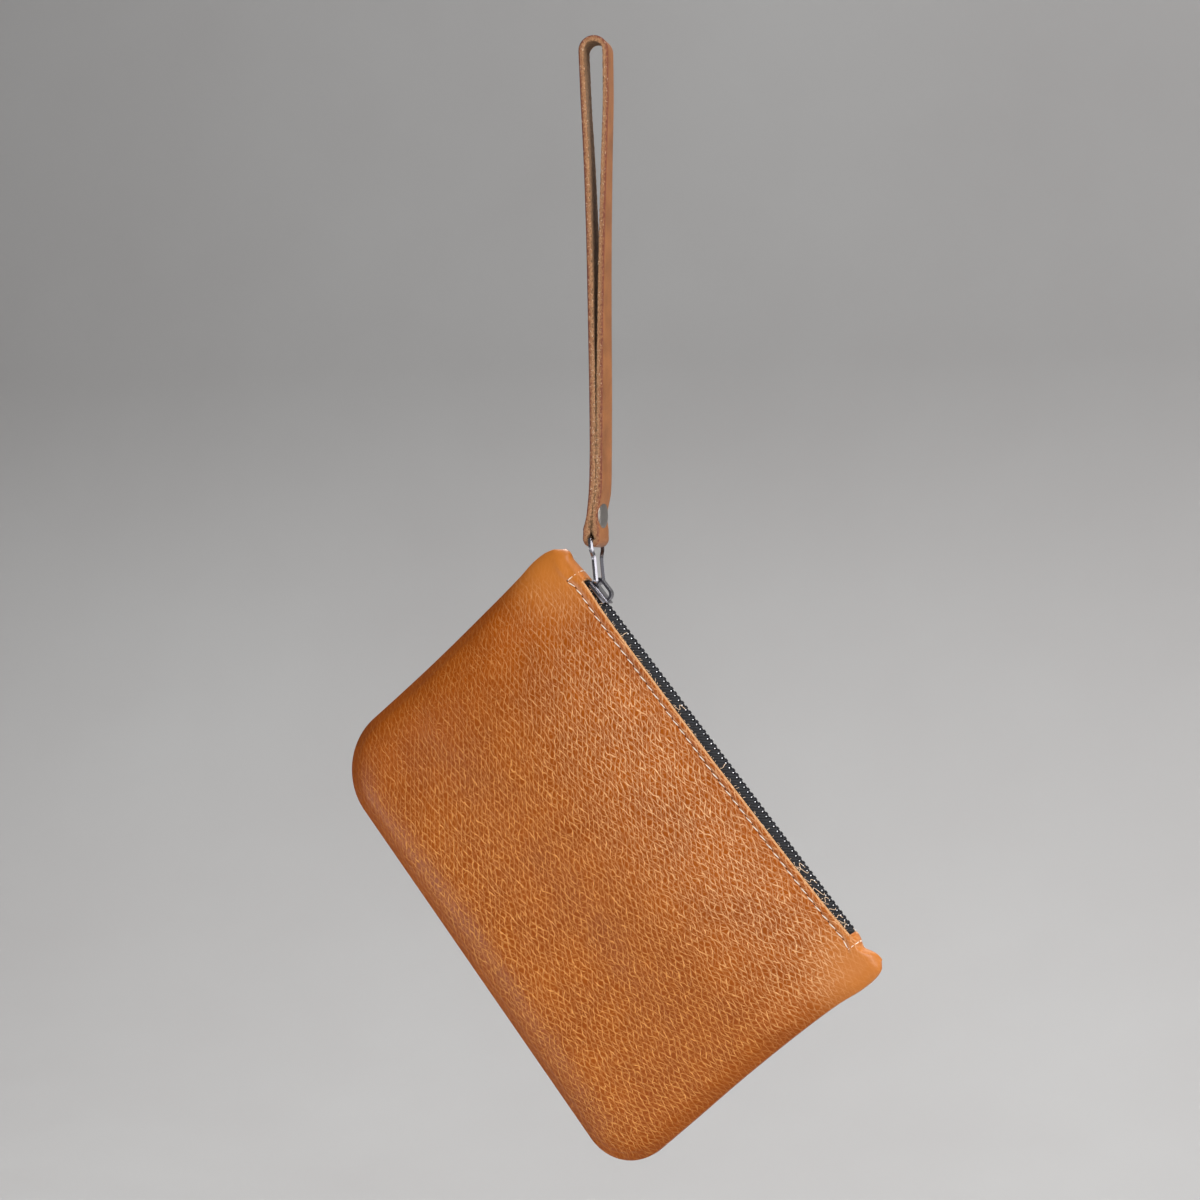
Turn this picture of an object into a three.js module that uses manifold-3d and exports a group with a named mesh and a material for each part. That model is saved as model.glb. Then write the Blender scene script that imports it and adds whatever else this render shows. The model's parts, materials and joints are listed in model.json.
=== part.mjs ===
// A leather wristlet clutch hanging from its wrist strap. Millimetres, +Z up.
// The origin is the inside of the strap's top, where the strap hangs on a peg or a hand.
// The front panel faces -Y. The pouch hangs by one end of its zip, so it is turned about Y.
import * as THREE from 'three';
import { mergeVertices } from 'three/addons/utils/BufferGeometryUtils.js';
import Module from 'manifold-3d';

const wasm = await Module();
wasm.setup();

// How it hangs
const HANG_TURN = THREE.MathUtils.degToRad(51.2); // the zip's slope below level
const PULL_TOP_DROP = 170.8; // from the origin to the ring's top bar, inside the strap's fold
const PULL_LENGTH = 15.3; // between the ring's top and bottom bars
const PULL_LEAN = THREE.MathUtils.degToRad(5.4); // the ring leans a little towards the far end

// Pouch. u runs along the zip from its middle, drop runs from the slot's edge into the pouch.
const WALL = 1.5;
const SLOT_LEFT = 76.75; // from the zip's middle to the slot's two ends
const SLOT_RIGHT = 75;
const LIP_HALF = 4.4; // half the thickness over the slot's two edges
const BELLY_HALF = 7.4; // half the thickness at the fullest level
const BELLY_DROP = 72; // the level where the pouch is fullest
const SEAM_HALF = 1.7; // half the thickness at the turned seam
const SEAM_ROLL = 17; // width over which a panel rolls down to the seam
const SEAM_INSET = 2.4; // leather turned in at the seam, from the outline to the hollow
const EAR_START = 1; // from the slot's end to where the top starts to be a fold
const EAR_SPAN = 7; // length over which it becomes one
const FOLD_DEPTH = 4.5; // height over which the folded top rounds over
const FOLD_EDGE = 0.3; // share of the thickness left at the fold's crest
const POUCH_DROP = 115.1; // from the zip's level to the bottom seam, at the middle
const BOTTOM_SLOPE = 0.022; // the bottom seam falls a little towards the far end
const CORNER_LEFT = 23;
const CORNER_RIGHT = 18;
const CORNER_U = 72; // where the bottom's height is taken for the corners
const OUTER_CELLS = { u: 36, y: 2, drop: 25 };
const HOLLOW_CELLS = { u: 22, y: 2, drop: 15 };

// Height of the top edge over the zip's level: the slot's lips, then the folded corners
const TOPS = [
  { u: 0, left: 0.6, right: 0.6 },
  { u: 40, left: 0.95, right: 0.95 },
  { u: 66, left: 1.4, right: 1.4 },
  { u: 78, left: 2.9, right: 2.3 },
  { u: 90, left: 3.9, right: 5.0 },
];

// Distance from the zip's middle to each side seam, by level
const SIDES = [
  { drop: -5, left: 89.2, right: 88.0 },
  { drop: -3.9, left: 90.3, right: 89.0 },
  { drop: -1.8, left: 91.7, right: 90.4 },
  { drop: 3.5, left: 93.7, right: 91.5 },
  { drop: 8.5, left: 94.0, right: 91.4 },
  { drop: 16, left: 93.1, right: 90.5 },
  { drop: 36, left: 91.5, right: 89.9 },
  { drop: 60, left: 90.0, right: 90.2 },
  { drop: 84, left: 89.2, right: 91.2 },
  { drop: 116, left: 88.8, right: 92.3 },
];

// Hollows and swells of each panel: where, how far they spread, and how far they stand out
const DENTS = [
  { face: -1, u: 24, drop: 74, spanU: 34, spanDrop: 13, out: -1.9 },
  { face: -1, u: 80, drop: 76, spanU: 12, spanDrop: 22, out: -1.5 },
  { face: -1, u: -62, drop: 90, spanU: 24, spanDrop: 20, out: -1.6 },
  { face: -1, u: 22, drop: 103, spanU: 46, spanDrop: 8, out: 1.0 },
  { face: -1, u: -36, drop: 20, spanU: 20, spanDrop: 12, out: 0.7 },
  { face: -1, u: 16, drop: 20, spanU: 18, spanDrop: 12, out: 0.7 },
  { face: -1, u: -74, drop: 27, spanU: 8, spanDrop: 14, out: -1.0 },
  { face: 1, u: -20, drop: 66, spanU: 38, spanDrop: 16, out: -1.6 },
  { face: 1, u: 52, drop: 98, spanU: 30, spanDrop: 10, out: 0.8 },
];

// Zip. up runs out of the slot from its edge.
const TAPE_THICK = 1.0;
const TAPE_SEWN = 8; // width sewn under the leather
const TAPE_OUTER = 2.55; // from the middle to the tape's outer face under the leather
const TAPE_BEND_UP = 0.6; // where the tape leans in towards the teeth
const TAPE_TOP = { outerY: 1.35, outerUp: 1.75, innerY: 0.6, innerUp: 1.05 };
const ZIP_END_GAP = 0.35;
const TOOTH_PITCH = 2.05;
const TOOTH_LENGTH = 1.05;
const CHAIN_HALF = 1.6;
const CHAIN_BOTTOM = 2.05;
const CHAIN_CORE_TOP = 2.55;
const CHAIN_TOP = 3.1;
const CHAIN_START = -72.6;
const CHAIN_END = 74.4;

// Slider, at the closed end of the zip
const SLIDER_START = -75.3;
const SLIDER_LENGTH = 9.8;
const SLIDER_HALF_WIDE = 3.3;
const SLIDER_HALF_NARROW = 2.6;
const SLIDER_ROUND = 1.2;
const PLATE_BOTTOM = 3.4;
const PLATE_THICK = 0.8;
const FLANGE = { thick: 0.7, down: 0.9, inset: 1.6, wallY: 1.95 };
const GUIDE = { halfY: 0.27, length: 1.4, shoeHalfY: 0.8, shoeLength: 7, shoeUp: -0.7, shoeThick: 0.8 };
const BAIL_WIDE = 2.6;
const BAIL_THICK = 0.9;
const BAIL_WINDOW = 2.0;
const BAIL_LENGTH = 8.8;
const BAIL_ROUND = 0.6;
const BAIL_OVERLAP = 0.3; // depth of the bail's feet in the plate

// Pull ring: round wire, wide where the strap sits and narrow at the bail
const RING_WIRE = 0.7; // radius
const RING_GAP = 0.15; // between the wire and the bail
const RING_EYE_HALF = 6.0; // middle to wire centre, wide part
const RING_STEM_HALF = 3.0; // middle to wire centre, narrow part
const RING_SHOULDER = 10.1; // height of the shoulder above the bottom bar
const RING_ROUND = 1.0;
const RING_STEPS = 72;
const RING_SIDES = 10;

// Wrist strap: one band, 10 mm wide, both strands pinched by the rivet
const STRAP_WIDE = 10;
const STRAP_THICK = 2.0;
const FOLD_GAP = 0.35; // between the ring's wire and the fold
const STRAP_ROWS = 40;
const ARC_STEPS = 10;
const RIVET_DROP = 162.8;
const RIVET_CAP = 4.7; // radius
const RIVET_CAP_THICK = 1.1;
const RIVET_BEVEL = 0.6;
const RIVET_POST = 1.5; // radius
const RIVET_GAP = 0.2;
const RIVET_SIDES = 28;

// Half the gap between the strands and the turn of the band about Z, by depth below the origin
const STRANDS = [
  { drop: 3.2, halfGap: 3.2, turn: 9 },
  { drop: 20, halfGap: 3.0, turn: 9 },
  { drop: 40, halfGap: 2.2, turn: 7.5 },
  { drop: 70, halfGap: 1.35, turn: 5 },
  { drop: 98, halfGap: 0.85, turn: 2 },
  { drop: 122, halfGap: 0.5, turn: 0 },
  { drop: 150, halfGap: 0.18, turn: 0 },
  { drop: 167.6, halfGap: 0.15, turn: 0 },
];

const LEATHER = new THREE.MeshStandardMaterial({ color: '#b16a32', roughness: 0.62 });
const STRAP_LEATHER = new THREE.MeshStandardMaterial({ color: '#a96e44', roughness: 0.55 });
const TAPE = new THREE.MeshStandardMaterial({ color: '#26262d', roughness: 0.9 });
const TEETH = new THREE.MeshStandardMaterial({ color: '#9a938a', roughness: 0.35, metalness: 1 });
const GUNMETAL = new THREE.MeshStandardMaterial({ color: '#4a4846', roughness: 0.3, metalness: 1 });
const RIVET_METAL = new THREE.MeshStandardMaterial({ color: '#7e7876', roughness: 0.4, metalness: 1 });

// Small helpers
const smooth = (from, to, value) => THREE.MathUtils.smoothstep(value, from, to);
const lerp = THREE.MathUtils.lerp;

function readTable(rows, key, column, value) {
  // Smooth curve through one column of a table whose rows rise in the key column.
  const last = rows.length - 1;
  const at = THREE.MathUtils.clamp(value, rows[0][key], rows[last][key]);
  const i = Math.min(rows.findIndex((row, n) => n === last || at < rows[n + 1][key]), last - 1);
  const [a, b] = [rows[i], rows[i + 1]];
  const slope = (p, q) => (q[column] - p[column]) / (q[key] - p[key]);
  const middle = slope(a, b);
  const gentle = (m) => (m * middle <= 0 ? 0 : Math.sign(middle) * Math.min(Math.abs(m), 3 * Math.abs(middle)));
  const startSlope = gentle(i > 0 ? (slope(rows[i - 1], a) + middle) / 2 : middle);
  const endSlope = gentle(i + 1 < last ? (middle + slope(b, rows[i + 2])) / 2 : middle);
  const step = b[key] - a[key];
  const t = (at - a[key]) / step;
  const rise = t * t * (3 - 2 * t);
  return lerp(a[column], b[column], rise)
    + step * startSlope * t * (1 - t) * (1 - t)
    - step * endSlope * t * t * (1 - t);
}

function toSolid(geometry) {
  const bare = geometry.clone();
  bare.deleteAttribute('normal');
  bare.deleteAttribute('uv');
  const merged = mergeVertices(bare, 1e-4);
  return new wasm.Manifold(new wasm.Mesh({
    numProp: 3,
    vertProperties: new Float32Array(merged.attributes.position.array),
    triVerts: new Uint32Array(merged.index.array),
  }));
}

function toGeometry(solid) {
  const mesh = solid.getMesh();
  const geometry = new THREE.BufferGeometry();
  geometry.setAttribute('position', new THREE.BufferAttribute(mesh.vertProperties, 3));
  geometry.setIndex(new THREE.BufferAttribute(mesh.triVerts, 1));
  geometry.computeVertexNormals();
  return geometry;
}

function moveVertices(geometry, place) {
  const points = geometry.attributes.position;
  const point = new THREE.Vector3();
  for (let i = 0; i < points.count; i += 1) {
    point.fromBufferAttribute(points, i);
    place(point);
    points.setXYZ(i, point.x, point.y, point.z);
  }
  return geometry;
}

function boxBetween(low, high) {
  const size = new THREE.Vector3().subVectors(high, low);
  const box = new THREE.BoxGeometry(size.x, size.y, size.z);
  return box.translate((low.x + high.x) / 2, (low.y + high.y) / 2, (low.z + high.z) / 2);
}

function addPiece(parent, name, geometry, material) {
  const mesh = new THREE.Mesh(geometry, material);
  mesh.name = name;
  parent.add(mesh);
}

// Pouch leather
const cornerRadius = (u) => (u < 0 ? CORNER_LEFT : CORNER_RIGHT);
const bottomDrop = (u) => POUCH_DROP + BOTTOM_SLOPE * u;
const slotEnd = (u) => (u < 0 ? SLOT_LEFT : SLOT_RIGHT) + EAR_START;
const earShare = (u) => smooth(slotEnd(u), slotEnd(u) + EAR_SPAN, Math.abs(u));
const topDrop = (u) => -readTable(TOPS, 'u', u < 0 ? 'left' : 'right', Math.abs(u));

function sideStraight(u, drop) {
  return readTable(SIDES, 'drop', u < 0 ? 'left' : 'right', drop);
}

function sideReach(u, drop) {
  // Distance from the middle to the side seam, with the bottom corner's arc taken off.
  const radius = cornerRadius(u);
  const straight = sideStraight(u, drop);
  const fromArc = drop - (bottomDrop(Math.sign(u) * CORNER_U) - radius);
  if (fromArc <= 0) return straight;
  return straight - radius + Math.sqrt(Math.max(radius * radius - fromArc * fromArc, 0));
}

function seamDistance(u, drop) {
  const radius = cornerRadius(u);
  const toSide = sideStraight(u, drop) - Math.abs(u);
  const toBottom = bottomDrop(u) - drop;
  if (toSide >= radius || toBottom >= radius) return Math.min(toSide, toBottom);
  return radius - Math.hypot(radius - toSide, radius - toBottom);
}

function dentAt(face, u, drop) {
  let out = 0;
  for (const dent of DENTS) {
    const along = (u - dent.u) / dent.spanU;
    const down = (drop - dent.drop) / dent.spanDrop;
    if (dent.face === face) out += dent.out * Math.exp(-along * along - down * down);
  }
  return out;
}

function halfThickness(face, u, drop) {
  const full = lerp(LIP_HALF, BELLY_HALF, smooth(-10, BELLY_DROP, drop)) + dentAt(face, u, drop);
  const inRoll = THREE.MathUtils.clamp(seamDistance(u, drop) / SEAM_ROLL, 0, 1);
  const rolled = lerp(SEAM_HALF, full, Math.sqrt(1 - (1 - inRoll) ** 2));
  const underCrest = THREE.MathUtils.clamp((drop - topDrop(u)) / FOLD_DEPTH, 0, 1);
  const folded = lerp(FOLD_EDGE, 1, Math.sqrt(1 - (1 - underCrest) ** 2));
  return rolled * lerp(1, folded, earShare(u));
}

function pouchForm(cells, inset, crestInset, thinner) {
  // A unit box whose cells are carried onto the pouch: x along the zip, y through it, z up.
  const form = new THREE.BoxGeometry(2, 2, 1, cells.u, cells.y, cells.drop);
  return moveVertices(form, (point) => {
    const down = 0.5 - point.z;
    const level = 0.5 - 0.5 * Math.cos(Math.PI * down); // finer rows at the top and the bottom
    const share = lerp(down, level, 0.6);
    const side = Math.sign(point.x) || 1;
    const nominal = lerp(topDrop(side * 90), bottomDrop(side * CORNER_U), share);
    const reach = sideReach(side, nominal) - inset;
    const u = point.x * reach;
    const drop = lerp(topDrop(u) + crestInset, bottomDrop(u) - inset, share);
    const face = Math.sign(point.y) || -1;
    const half = Math.max(halfThickness(face, u, drop) - thinner, WALL / 4);
    point.set(u, point.y * half, -drop);
  });
}

function pouchLeather() {
  const outside = toSolid(pouchForm(OUTER_CELLS, 0, 0, 0));
  const hollow = toSolid(pouchForm(HOLLOW_CELLS, SEAM_INSET, 1.3 * WALL, WALL));
  const lip = LIP_HALF - WALL;
  const slot = toSolid(boxBetween(
    new THREE.Vector3(-SLOT_LEFT, -lip, -3 * WALL),
    new THREE.Vector3(SLOT_RIGHT, lip, 8 * WALL),
  ));
  return toGeometry(outside.subtract(hollow).subtract(slot));
}

// Zip
function alongZip(shape, from, to) {
  // A section drawn as (y, up), carried along the zip from one place to another.
  const strip = new THREE.ExtrudeGeometry(shape, { depth: to - from, bevelEnabled: false });
  return moveVertices(strip, (point) => point.set(from + point.z, point.x, point.y));
}

function zipTape(side) {
  const inner = TAPE_OUTER - TAPE_THICK;
  const section = new THREE.Shape([
    new THREE.Vector2(side * TAPE_OUTER, -TAPE_SEWN),
    new THREE.Vector2(side * TAPE_OUTER, TAPE_BEND_UP),
    new THREE.Vector2(side * TAPE_TOP.outerY, TAPE_TOP.outerUp),
    new THREE.Vector2(side * TAPE_TOP.innerY, TAPE_TOP.innerUp),
    new THREE.Vector2(side * inner, TAPE_BEND_UP - TAPE_THICK / 2),
    new THREE.Vector2(side * inner, -TAPE_SEWN),
  ]);
  return alongZip(section, ZIP_END_GAP - SLOT_LEFT, SLOT_RIGHT - ZIP_END_GAP);
}

function zipChain() {
  const comb = new THREE.Shape();
  comb.moveTo(CHAIN_START, CHAIN_BOTTOM);
  comb.lineTo(CHAIN_END, CHAIN_BOTTOM);
  comb.lineTo(CHAIN_END, CHAIN_CORE_TOP);
  const count = Math.floor((CHAIN_END - CHAIN_START) / TOOTH_PITCH);
  for (let i = count - 1; i >= 0; i -= 1) {
    const start = CHAIN_START + (i + 0.25) * TOOTH_PITCH;
    comb.lineTo(start + TOOTH_LENGTH, CHAIN_CORE_TOP);
    comb.lineTo(start + TOOTH_LENGTH, CHAIN_TOP);
    comb.lineTo(start, CHAIN_TOP);
    comb.lineTo(start, CHAIN_CORE_TOP);
  }
  comb.lineTo(CHAIN_START, CHAIN_CORE_TOP);
  return acrossZip(comb, 2 * CHAIN_HALF);
}

function acrossZip(shape, wide) {
  // A side view drawn as (u, up), carried across the zip.
  const bar = new THREE.ExtrudeGeometry(shape, { depth: wide, bevelEnabled: false, curveSegments: 4 });
  return moveVertices(bar, (point) => point.set(point.x, wide / 2 - point.z, point.y));
}

const PLATE_TOP = PLATE_BOTTOM + PLATE_THICK;
const BAIL_START = SLIDER_START + 0.2;
const CROWN_INSIDE = PLATE_TOP + BAIL_WINDOW;
const RING_SEAT = {
  u: BAIL_START + BAIL_THICK + RING_GAP + RING_WIRE,
  up: CROWN_INSIDE - RING_GAP - RING_WIRE,
};

function roundedBox(path, left, right, low, high, round) {
  path.moveTo(left + round, low);
  path.lineTo(right - round, low);
  path.absarc(right - round, low + round, round, -Math.PI / 2, 0);
  path.lineTo(right, high - round);
  path.absarc(right - round, high - round, round, 0, Math.PI / 2);
  path.lineTo(left + round, high);
  path.absarc(left + round, high - round, round, Math.PI / 2, Math.PI);
  path.lineTo(left, low + round);
  path.absarc(left + round, low + round, round, Math.PI, 1.5 * Math.PI);
  return path;
}

function sliderPlate() {
  const plan = roundedBox(
    new THREE.Shape(), 0, SLIDER_LENGTH, -SLIDER_HALF_WIDE, SLIDER_HALF_WIDE, SLIDER_ROUND,
  );
  const plate = new THREE.ExtrudeGeometry(plan, { depth: PLATE_THICK, bevelEnabled: false, curveSegments: 4 });
  return moveVertices(plate, (point) => {
    const narrow = lerp(1, SLIDER_HALF_NARROW / SLIDER_HALF_WIDE, point.x / SLIDER_LENGTH);
    point.set(SLIDER_START + point.x, point.y * narrow, PLATE_BOTTOM + point.z);
  });
}

function zipSlider() {
  let body = toSolid(sliderPlate());
  const bailOutline = roundedBox(
    new THREE.Shape(), BAIL_START, BAIL_START + BAIL_LENGTH,
    PLATE_TOP - BAIL_OVERLAP, CROWN_INSIDE + BAIL_THICK, BAIL_ROUND + BAIL_THICK / 2,
  );
  const bailFoot = boxBetween(
    new THREE.Vector3(BAIL_START, -BAIL_WIDE / 2, PLATE_TOP - BAIL_OVERLAP),
    new THREE.Vector3(BAIL_START + BAIL_LENGTH, BAIL_WIDE / 2, CROWN_INSIDE - BAIL_WINDOW / 2),
  );
  const window = roundedBox(
    new THREE.Path(), BAIL_START + BAIL_THICK, BAIL_START + BAIL_LENGTH - BAIL_THICK,
    PLATE_TOP, CROWN_INSIDE, BAIL_ROUND,
  );
  const hole = acrossZip(new THREE.Shape(window.getPoints(4)), 2 * BAIL_WIDE);
  const bail = toSolid(acrossZip(bailOutline, BAIL_WIDE)).add(toSolid(bailFoot)).subtract(toSolid(hole));
  body = body.add(bail);
  for (const side of [-1, 1]) {
    const inner = side * FLANGE.wallY;
    const outer = inner + side * FLANGE.thick;
    body = body.add(toSolid(boxBetween(
      new THREE.Vector3(SLIDER_START + FLANGE.inset, Math.min(inner, outer), PLATE_BOTTOM - FLANGE.down),
      new THREE.Vector3(
        SLIDER_START + SLIDER_LENGTH - FLANGE.inset, Math.max(inner, outer), PLATE_TOP - BAIL_OVERLAP,
      ),
    )));
  }
  const guideStart = SLIDER_START + 0.6;
  const guide = boxBetween(
    new THREE.Vector3(guideStart, -GUIDE.halfY, GUIDE.shoeUp),
    new THREE.Vector3(guideStart + GUIDE.length, GUIDE.halfY, PLATE_TOP - BAIL_OVERLAP),
  );
  const shoe = boxBetween(
    new THREE.Vector3(guideStart, -GUIDE.shoeHalfY, GUIDE.shoeUp - GUIDE.shoeThick),
    new THREE.Vector3(guideStart + GUIDE.shoeLength, GUIDE.shoeHalfY, GUIDE.shoeUp + BAIL_OVERLAP),
  );
  return toGeometry(body.add(toSolid(guide)).add(toSolid(shoe)));
}

// Pull ring, drawn in the plane of Y and Z with its bottom bar at the origin
function ringPath() {
  const stem = RING_STEM_HALF;
  const eye = RING_EYE_HALF;
  const r = RING_ROUND;
  const path = new THREE.Path();
  path.moveTo(0, 0);
  path.lineTo(stem - r, 0);
  path.absarc(stem - r, r, r, -Math.PI / 2, 0);
  path.lineTo(stem, RING_SHOULDER - r);
  path.absarc(stem + r, RING_SHOULDER - r, r, Math.PI, Math.PI / 2, true);
  path.lineTo(eye - r, RING_SHOULDER);
  path.absarc(eye - r, RING_SHOULDER + r, r, -Math.PI / 2, 0);
  path.lineTo(eye, PULL_LENGTH - r);
  path.absarc(eye - r, PULL_LENGTH - r, r, 0, Math.PI / 2);
  path.lineTo(0, PULL_LENGTH);
  return path;
}

function pullRing() {
  const half = ringPath();
  const wire = new THREE.TorusGeometry(2 * RING_WIRE, RING_WIRE, RING_SIDES, RING_STEPS);
  return moveVertices(wire, (point) => {
    const turn = Math.atan2(point.y, point.x) / Math.PI; // 0 at the bottom bar, 1 and -1 at the top
    const along = Math.min(Math.abs(turn), 1);
    const side = turn < 0 ? -1 : 1;
    const centre = half.getPointAt(along);
    const tangent = half.getTangentAt(along);
    const outward = Math.hypot(point.x, point.y) - 2 * RING_WIRE;
    const y = side * (centre.x + tangent.y * outward);
    point.set(point.z, y, centre.y - tangent.x * outward);
  });
}

// Wrist strap, drawn in the plane of X and Z and carried across Y
function strandPoints(extra, side, downwards) {
  const points = [];
  const start = STRANDS[0].drop;
  const end = STRANDS[STRANDS.length - 1].drop;
  for (let i = 0; i <= STRAP_ROWS; i += 1) {
    const share = downwards ? i / STRAP_ROWS : 1 - i / STRAP_ROWS;
    const drop = lerp(start, end, share);
    points.push(new THREE.Vector2(side * (readTable(STRANDS, 'drop', 'halfGap', drop) + extra), -drop));
  }
  return points;
}

function arcPoints(centreDrop, radius, from, to) {
  const points = [];
  for (let i = 1; i < ARC_STEPS; i += 1) {
    const angle = lerp(from, to, i / ARC_STEPS);
    points.push(new THREE.Vector2(radius * Math.cos(angle), radius * Math.sin(angle) - centreDrop));
  }
  return points;
}

function strapLoop(extra) {
  // Closed side view of the band's inner face, or of its outer face when extra is its thickness.
  const fold = RING_WIRE + FOLD_GAP + extra;
  const top = STRANDS[0].halfGap + extra;
  return [
    ...strandPoints(extra, -1, true),
    ...arcPoints(PULL_TOP_DROP, fold, Math.PI * 0.94, Math.PI * 2.06),
    ...strandPoints(extra, 1, false),
    ...arcPoints(STRANDS[0].drop, top, 0, Math.PI),
  ];
}

function wristStrap() {
  const shape = new THREE.Shape(strapLoop(STRAP_THICK));
  shape.holes.push(new THREE.Path(strapLoop(0)));
  const band = new THREE.ExtrudeGeometry(shape, { depth: STRAP_WIDE, bevelEnabled: false });
  moveVertices(band, (point) => point.set(point.x, STRAP_WIDE / 2 - point.z, point.y));
  const hole = new THREE.CylinderGeometry(
    RIVET_POST + RIVET_GAP, RIVET_POST + RIVET_GAP, 4 * STRAP_THICK, RIVET_SIDES / 2,
  );
  hole.rotateZ(Math.PI / 2).translate(0, 0, -RIVET_DROP);
  const strap = toGeometry(toSolid(band).subtract(toSolid(hole)));
  const upright = new THREE.Vector3(0, 0, 1);
  moveVertices(strap, (point) => {
    const turn = THREE.MathUtils.degToRad(readTable(STRANDS, 'drop', 'turn', -point.z));
    point.applyAxisAngle(upright, turn);
  });
  strap.computeVertexNormals();
  return strap;
}

function strapRivet() {
  const seat = readTable(STRANDS, 'drop', 'halfGap', RIVET_DROP) + STRAP_THICK + RIVET_GAP;
  const face = seat + RIVET_CAP_THICK;
  const profile = [
    new THREE.Vector2(0, -face),
    new THREE.Vector2(RIVET_CAP - RIVET_BEVEL, -face),
    new THREE.Vector2(RIVET_CAP, -face + RIVET_BEVEL),
    new THREE.Vector2(RIVET_CAP, -seat),
    new THREE.Vector2(RIVET_POST, -seat),
    new THREE.Vector2(RIVET_POST, seat),
    new THREE.Vector2(RIVET_CAP, seat),
    new THREE.Vector2(RIVET_CAP, face - RIVET_BEVEL),
    new THREE.Vector2(RIVET_CAP - RIVET_BEVEL, face),
    new THREE.Vector2(0, face),
  ];
  const rivet = new THREE.LatheGeometry(profile, RIVET_SIDES);
  return rivet.rotateZ(Math.PI / 2).translate(0, 0, -RIVET_DROP);
}

// Assembly
const clutch = new THREE.Group();
addPiece(clutch, 'wrist_strap', wristStrap(), STRAP_LEATHER);
addPiece(clutch, 'strap_rivet', strapRivet(), RIVET_METAL);

const ring = new THREE.Group();
ring.rotation.y = -PULL_LEAN;
ring.position.set(0, 0, -PULL_LENGTH).applyEuler(ring.rotation);
ring.position.z -= PULL_TOP_DROP;
addPiece(ring, 'pull_ring', pullRing(), GUNMETAL);
clutch.add(ring);

const pouch = new THREE.Group();
pouch.rotation.y = HANG_TURN;
const seat = new THREE.Vector3(RING_SEAT.u, 0, RING_SEAT.up).applyEuler(pouch.rotation);
pouch.position.copy(ring.position).sub(seat);
addPiece(pouch, 'pouch_leather', pouchLeather(), LEATHER);
addPiece(pouch, 'zip_tape_front', zipTape(-1), TAPE);
addPiece(pouch, 'zip_tape_back', zipTape(1), TAPE);
addPiece(pouch, 'zip_chain', zipChain(), TEETH);
addPiece(pouch, 'zip_slider', zipSlider(), GUNMETAL);
clutch.add(pouch);

export default clutch;
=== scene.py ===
# %% [markdown]
# # A leather wristlet clutch
# This lesson dresses the plain solids of a small zip pouch that hangs from its wrist strap.
# Each step says what a piece is on the real object, how it could be made, and why it is made this way.

# %% Load the frame
import json
import math
import random

import bmesh
import bpy
from mathutils import Matrix, Vector, noise


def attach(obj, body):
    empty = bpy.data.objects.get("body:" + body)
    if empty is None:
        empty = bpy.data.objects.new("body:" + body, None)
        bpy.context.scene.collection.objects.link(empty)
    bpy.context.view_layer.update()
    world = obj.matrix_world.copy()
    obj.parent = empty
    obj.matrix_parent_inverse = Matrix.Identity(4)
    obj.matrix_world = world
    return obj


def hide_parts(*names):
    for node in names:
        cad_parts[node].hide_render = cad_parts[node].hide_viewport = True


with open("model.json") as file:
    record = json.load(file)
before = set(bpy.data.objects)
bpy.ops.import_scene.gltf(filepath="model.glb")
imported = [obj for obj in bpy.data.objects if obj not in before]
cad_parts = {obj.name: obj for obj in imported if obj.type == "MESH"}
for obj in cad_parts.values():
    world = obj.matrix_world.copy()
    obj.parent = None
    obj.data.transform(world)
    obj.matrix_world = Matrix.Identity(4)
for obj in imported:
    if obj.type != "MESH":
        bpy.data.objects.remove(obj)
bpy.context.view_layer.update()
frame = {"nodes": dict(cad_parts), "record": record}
print("solids:", sorted(frame["nodes"]))

# %% [markdown]
# ## One frame for all pieces
# The pouch hangs by one end of its zip, so it is easiest to draw it level, in millimetres, and to turn it
# into its hanging place at the end. u runs along the zip, y through the pouch, and up out of the zip.
# The two hinges of the solids give the places of the ring's bars, so nothing is fitted by eye.

# %% Places taken from the frame
MM = 0.001
HANG_TURN = math.radians(51.2)
RING_SEAT = Vector((-73.35, 0.0, 5.35))  # the ring's bar inside the bail, in the pouch's own axes

hinge_place = {j["name"]: Vector(j["pos_m"]) for j in frame["record"]["behaviour"]["joints"]}
ring_top = hinge_place["ring_in_strap"]
ring_bottom = hinge_place["pouch_on_ring"]
in_millimetres = Matrix.Scale(MM, 4)
pouch_place = (
    Matrix.Translation(ring_bottom)
    @ Matrix.Rotation(HANG_TURN, 4, "Y")
    @ in_millimetres
    @ Matrix.Translation(-RING_SEAT)
)
print("middle of the zip:", tuple(round(c, 4) for c in pouch_place.translation))


# %% Blend and read tables
def smooth_step(start, end, value):
    share = min(max((value - start) / (end - start), 0.0), 1.0)
    return share * share * (3 - 2 * share)


def mix(first, second, share):
    return first + (second - first) * share


def read_table(rows, key, column, value):
    """Smooth value of one column of a table whose rows rise in the key column, with no overshoot."""
    at = min(max(value, rows[0][key]), rows[-1][key])
    i = 0
    while i < len(rows) - 2 and at > rows[i + 1][key]:
        i += 1

    def slope(n):
        return (rows[n + 1][column] - rows[n][column]) / (rows[n + 1][key] - rows[n][key])

    def gentle(value_there):
        if value_there * slope(i) <= 0:
            return 0.0
        return math.copysign(min(abs(value_there), 3 * abs(slope(i))), slope(i))

    start = gentle((slope(i - 1) + slope(i)) / 2 if i > 0 else slope(i))
    end = gentle((slope(i) + slope(i + 1)) / 2 if i < len(rows) - 2 else slope(i))
    step = rows[i + 1][key] - rows[i][key]
    t = (at - rows[i][key]) / step
    value_between = mix(rows[i][column], rows[i + 1][column], t * t * (3 - 2 * t))
    return value_between + step * (start * t * (1 - t) ** 2 - end * t * t * (1 - t))


print("halfway from 2 to 6:", mix(2, 6, 0.5))

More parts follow.
